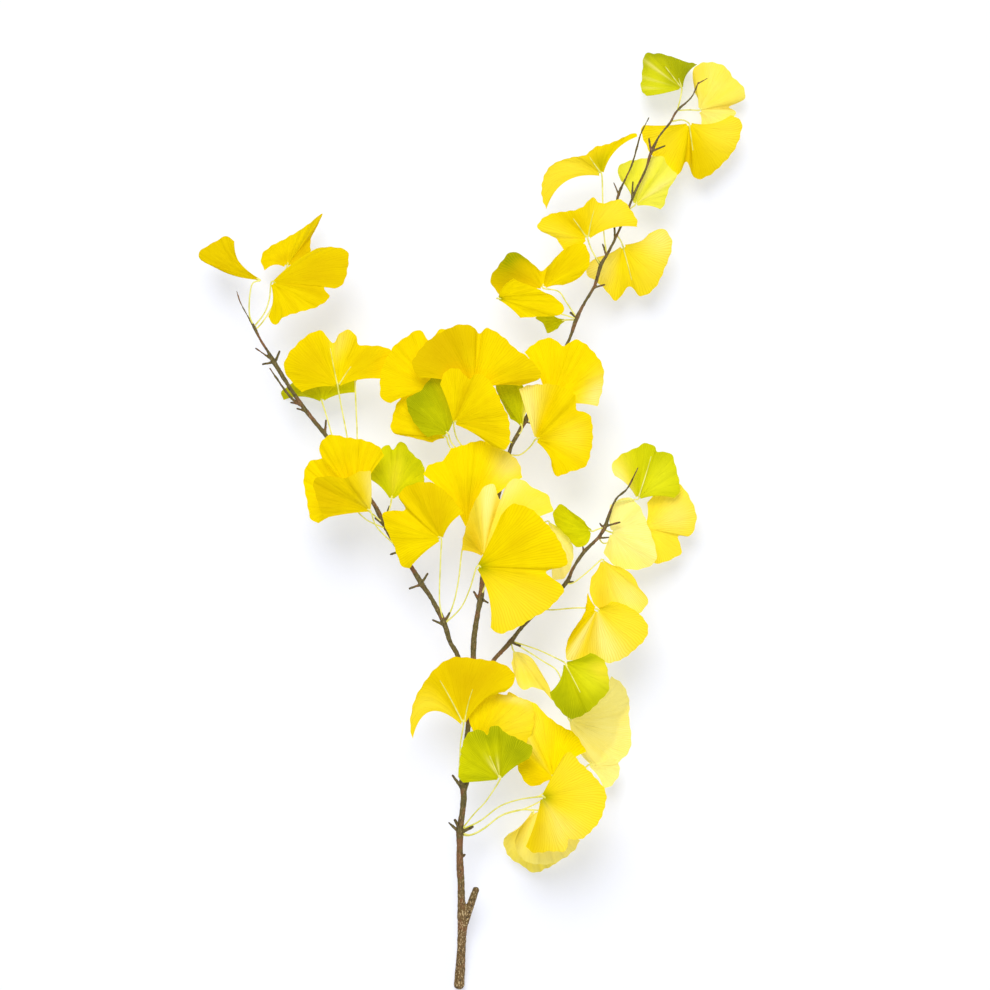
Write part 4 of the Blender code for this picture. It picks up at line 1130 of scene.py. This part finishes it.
def vein_group() -> bpy.types.NodeTree:
    """Group that draws fine veins which run out from the leaf's seat and fork halfway."""
    graph = group_of("fan_veins", (("Fan", "NodeSocketVector"), ("Count", "NodeSocketFloat")),
                     ("Ridge", "Streak"))
    source, result = graph.tree.nodes["Group Input"], graph.tree.nodes["Group Output"]
    fan = source.outputs["Fan"]
    across, along, _ = graph.parts(fan)
    waver = graph.math("SUBTRACT", graph.noise(graph.stretch(fan, WAVER_STRETCH), WAVER), 0.5)
    ridges = []
    for factor in (1, 2):
        count = graph.times(source.outputs["Count"], factor)
        shift = graph.times(waver, WAVER_TURNS * factor)
        turns = graph.math("ADD", graph.times(across, count), shift)
        wave = graph.math("COSINE", graph.times(turns, tau))
        ridges.append(graph.math("POWER", graph.span(wave, (-1, 1)), RIDGE_POWER))
    fork = graph.span(along, FORK_SPAN)
    inner = graph.times(ridges[0], graph.math("SUBTRACT", 1, fork))
    ridge = graph.math("ADD", inner, graph.times(ridges[1], fork))
    ridge = graph.times(ridge, graph.span(along, VEIN_START_SPAN))
    streak = graph.span(graph.noise(graph.stretch(fan, STREAK_STRETCH), STREAK), STREAK_SPAN)
    graph.feed(result.inputs["Ridge"], ridge)
    graph.feed(result.inputs["Streak"], streak)
    return graph.tree


def dye_group() -> bpy.types.NodeTree:
    """Group that gives the cloudy unevenness of dyed cloth, and its fine grain."""
    graph = group_of("uneven_dye", (("Place", "NodeSocketVector"),), ("Cloud", "Grain"))
    source, result = graph.tree.nodes["Group Input"], graph.tree.nodes["Group Output"]
    cloud = graph.noise(source.outputs["Place"], CLOUD)
    graph.feed(result.inputs["Cloud"], graph.span(cloud, CLOUD_SPAN))
    graph.feed(result.inputs["Grain"], graph.noise(source.outputs["Place"], WEAVE))
    return graph.tree


@dataclass(frozen=True)
class DyedCloth:
    """Cloth of one tone: its light and deep dye, its vein colour, and how they are laid on."""

    name: str
    light: Colour
    deep: Colour
    vein: Colour
    veins: float = 34
    depth_share: float = 0.3
    cloud_share: float = 0.3
    streak_share: float = 0.34
    vein_share: float = 0.32
    thinnest_spray: float = 0.88
    roughness: Span = (0.54, 0.66)
    specular: float = 0.02
    streak_relief: Span = (0.5, 1.0)
    ridge_relief: Span = (0.35, 0.3)
    weave_relief: Span = (0.25, 0.1)

    def build(self, veins: bpy.types.NodeTree, dye: bpy.types.NodeTree) -> bpy.types.Material:
        """Make the material from the two shared groups."""
        material, graph, shader = start_material(self.name)
        spots = graph.add("ShaderNodeTexCoord")
        fan = graph.add("ShaderNodeGroup", node_tree=veins)
        graph.feed(fan.inputs["Fan"], spots.outputs["UV"])
        graph.feed(fan.inputs["Count"], self.veins)
        cloth = graph.add("ShaderNodeGroup", node_tree=dye)
        graph.feed(cloth.inputs["Place"], spots.outputs["Object"])
        ridge, streak = fan.outputs["Ridge"], fan.outputs["Streak"]
        cloud, weave = cloth.outputs["Cloud"], cloth.outputs["Grain"]
        depth = graph.times(graph.mask("dye_depth"), self.depth_share)
        depth = graph.math("ADD", depth, graph.times(cloud, self.cloud_share))
        depth = graph.math("ADD", depth, graph.times(streak, self.streak_share))
        colour = graph.mix(depth, self.light, self.deep)
        thickness = graph.span(cloud, (0, 1), (self.thinnest_spray, 1))
        # Patches over the dye: tints, amber painted shade and cream painted highlight, each thinned by the
        # cloud.
        for hue, shade in SPRAY_COLOURS.items():
            colour = graph.mix(graph.times(graph.mask(hue.value), thickness), colour, shade)
        colour = graph.mix(graph.times(ridge, self.vein_share), colour, self.vein)
        graph.feed(shader.inputs["Base Color"], colour)
        graph.feed(shader.inputs["Roughness"], graph.span(weave, WEAVE_SPAN, self.roughness))
        graph.feed(shader.inputs["Specular IOR Level"], self.specular)
        normal = graph.bump(streak, self.streak_relief)
        normal = graph.bump(ridge, self.ridge_relief, normal)
        graph.feed(shader.inputs["Normal"], graph.bump(weave, self.weave_relief, normal))
        return material


@dataclass(frozen=True)
class MouldedStalk:
    """Pale yellow-green moulding of the stalks and ribs."""

    light: Colour = (0.86, 0.82, 0.22)
    shade: Colour = (0.66, 0.63, 0.06)
    cloud: Noise = Noise(120, 3)
    shade_span: Span = (0.35, 0.7)
    rough_span: Span = (0.2, 0.8)
    roughness: Span = (0.45, 0.57)
    grain: Noise = Noise(900)
    relief: Span = (0.3, 0.1)

    def build(self) -> bpy.types.Material:
        """Make the material."""
        material, graph, shader = start_material("moulded_stalk")
        spots = graph.add("ShaderNodeTexCoord").outputs["Object"]
        cloud = graph.noise(spots, self.cloud)
        colour = graph.mix(graph.span(cloud, self.shade_span), self.light, self.shade)
        graph.feed(shader.inputs["Base Color"], colour)
        graph.feed(shader.inputs["Roughness"], graph.span(cloud, self.rough_span, self.roughness))
        graph.feed(shader.inputs["Normal"], graph.bump(graph.noise(spots, self.grain), self.relief))
        return material


@dataclass(frozen=True)
class MouldedBark:
    """Olive-brown moulded bark with redder patches, dark pegs, painted shade in its hollows, and pale
    speckles near the lower end that paint glints as well as rubbed places.
    """

    ground: Colour = (0.105, 0.092, 0.024)
    reddish: Colour = (0.19, 0.088, 0.035)
    # Pale speckle colour: painted glints together with rubbed places, towards the lower end.
    worn_glint: Colour = (0.56, 0.42, 0.22)
    # Painted shade: near-black colour laid in the bark's hollows.
    hollow_shade: Colour = (0.022, 0.018, 0.008)
    peg: Colour = (0.06, 0.035, 0.015)
    patches: Noise = Noise(70, 3)
    patch_span: Span = (0.45, 0.65)
    grain: Point = (1.0, 0.4, 1.0)
    speckle: Noise = Noise(420, 3, 0.65)
    hollow_shade_span: Span = (0.30, 0.47)
    hollow_shade_shares: Span = (0.85, 0)
    worn_glint_spots: Noise = Noise(900, 3, 0.65)
    worn_glint_span: Span = (0.54, 0.63)
    low_end: Span = (-0.40, -0.33)
    low_shares: Span = (1.0, 0.25)
    low_redness: float = 0.55
    peg_share: float = 0.7
    rough_span: Span = (0.3, 0.7)
    roughness: Span = (0.52, 0.72)
    specular: float = 0.2
    relief: Span = (0.9, 0.6)

    def build(self) -> bpy.types.Material:
        """Make the material."""
        material, graph, shader = start_material("moulded_bark")
        spots = graph.add("ShaderNodeTexCoord").outputs["Object"]
        low = graph.span(graph.parts(spots)[1], self.low_end, self.low_shares)
        patch = graph.span(graph.noise(spots, self.patches), self.patch_span)
        patch = graph.math("MAXIMUM", patch, graph.times(low, self.low_redness))
        colour = graph.mix(patch, self.ground, self.reddish)
        grain = graph.stretch(spots, self.grain)
        speckle = graph.noise(grain, self.speckle)
        # Painted shade: darker where the speckle relief is lowest, in the hollows.
        colour = graph.mix(graph.span(speckle, self.hollow_shade_span, self.hollow_shade_shares), colour, self.hollow_shade)
        # Pale speckles towards the lower end: painted glints together with rubbed places.
        worn_glint_spots = graph.times(graph.span(graph.noise(grain, self.worn_glint_spots), self.worn_glint_span), low)
        colour = graph.mix(worn_glint_spots, colour, self.worn_glint)
        colour = graph.mix(graph.times(graph.mask("peg_tip"), self.peg_share), colour, self.peg)
        graph.feed(shader.inputs["Base Color"], colour)
        graph.feed(shader.inputs["Roughness"], graph.span(speckle, self.rough_span, self.roughness))
        graph.feed(shader.inputs["Specular IOR Level"], self.specular)
        graph.feed(shader.inputs["Normal"], graph.bump(speckle, self.relief))
        return material


SPRAY_COLOURS = {
    Hue.LIME: (0.78, 0.77, 0.015),
    Hue.YELLOW: (0.94, 0.75, 0.04),
    # amber: painted shade
    Hue.AMBER: (0.64, 0.43, 0.0),
    # green: green tint with painted olive shade
    Hue.LEAF_GREEN: (0.27, 0.30, 0.0),
    # cream: painted highlight
    Hue.CREAM: (0.94, 0.83, 0.25),
}
CLOTHS = {
    Tone.GOLD: DyedCloth("gold_cloth", (0.93, 0.74, 0.0), (0.78, 0.56, 0.0), (0.66, 0.46, 0.0)),
    Tone.PALE: DyedCloth("pale_cloth", (0.96, 0.88, 0.29), (0.92, 0.78, 0.09), (0.88, 0.70, 0.04)),
    Tone.GREEN: DyedCloth("lime_cloth", (0.68, 0.66, 0.001), (0.42, 0.42, 0.0), (0.74, 0.72, 0.01)),
}


class Looks:
    """All the finishes, each made once."""

    def __init__(self) -> None:
        """Make the shared groups and the materials."""
        veins, dye = vein_group(), dye_group()
        self.cloth = {tone: cloth.build(veins, dye) for tone, cloth in CLOTHS.items()}
        self.stalk = MouldedStalk().build()
        self.bark = MouldedBark().build()


@dataclass(frozen=True)
class Studio:
    """Pale floor, soft light and a camera that looks straight down."""

    floor_side: float = 40.0
    floor_colour: Colour = (0.62, 0.635, 0.70)
    floor_roughness: float = 0.9
    floor_glow: Colour = (0.93, 0.95, 1.0)
    glow_strength: float = 0.26
    sky_colour: Colour = (1.0, 1.0, 1.0)
    sky_strength: float = 0.3
    sun_place: Point = (-0.5, 2.1, 3.2)
    sun_strength: float = 1.8
    sun_softness: float = radians(38)
    fill_place: Point = (1.1, -1.4, 4.0)
    fill_strength: float = 1.55
    camera_height: float = 8.0
    sensor: float = 36.0

    def lay_floor(self) -> None:
        """Add the floor."""
        deselect_all()
        bpy.ops.mesh.primitive_plane_add(size=self.floor_side)
        floor = bpy.context.active_object
        floor.name = "floor"
        material, graph, shader = start_material("pale_floor")
        graph.feed(shader.inputs["Base Color"], self.floor_colour)
        graph.feed(shader.inputs["Roughness"], self.floor_roughness)
        graph.feed(shader.inputs["Emission Color"], self.floor_glow)
        graph.feed(shader.inputs["Emission Strength"], self.glow_strength)
        floor.data.materials.append(material)

    def _add_sun(self, source: Point, strength: float, shadow: bool) -> None:
        """Add one sun that shines from a place to the origin."""
        deselect_all()
        bpy.ops.object.light_add(type="SUN", location=source)
        sun = bpy.context.active_object
        sun.rotation_euler = (-Vector(source)).to_track_quat("-Z", "Y").to_euler()
        sun.data.energy = strength
        sun.data.angle = self.sun_softness
        sun.data.use_shadow = shadow

    def light(self) -> None:
        """Add the soft sun from above the tip, a fill that casts no shadow, and the even sky."""
        self._add_sun(self.sun_place, self.sun_strength, True)
        self._add_sun(self.fill_place, self.fill_strength, False)
        world = bpy.data.worlds.new("pale_sky")
        world.use_nodes = True
        sky = world.node_tree.nodes["Background"]
        sky.inputs["Color"].default_value = (*self.sky_colour, 1)
        sky.inputs["Strength"].default_value = self.sky_strength
        bpy.context.scene.world = world
        bpy.context.scene.view_settings.view_transform = "Standard"

    def aim(self) -> None:
        """Add the camera over the middle of the board."""
        middle = place((BOARD_SIDE / 2, BOARD_SIDE / 2, 0))
        deselect_all()
        bpy.ops.object.camera_add(location=(middle.x, middle.y, self.camera_height), rotation=(0, 0, 0))
        camera = bpy.context.active_object
        camera.data.sensor_width = self.sensor
        camera.data.lens = self.sensor * self.camera_height / (BOARD_SIDE * MM)
        camera.data.clip_end = self.floor_side
        bpy.context.scene.camera = camera


def main() -> None:
    """Build the finishes, the stem pieces, the leaves and the studio."""
    looks = Looks()
    for maker in [TwigPiece(twig) for twig in TWIGS] + [LeafPiece(leaf) for leaf in LEAVES]:
        for piece in maker.dress(looks):
            LOG.info("%s: %d faces", piece.name, len(piece.data.polygons))
    studio = Studio()
    studio.lay_floor()
    studio.light()
    studio.aim()


if __name__ == "__main__":
    logging.basicConfig(level=logging.INFO)
    main()
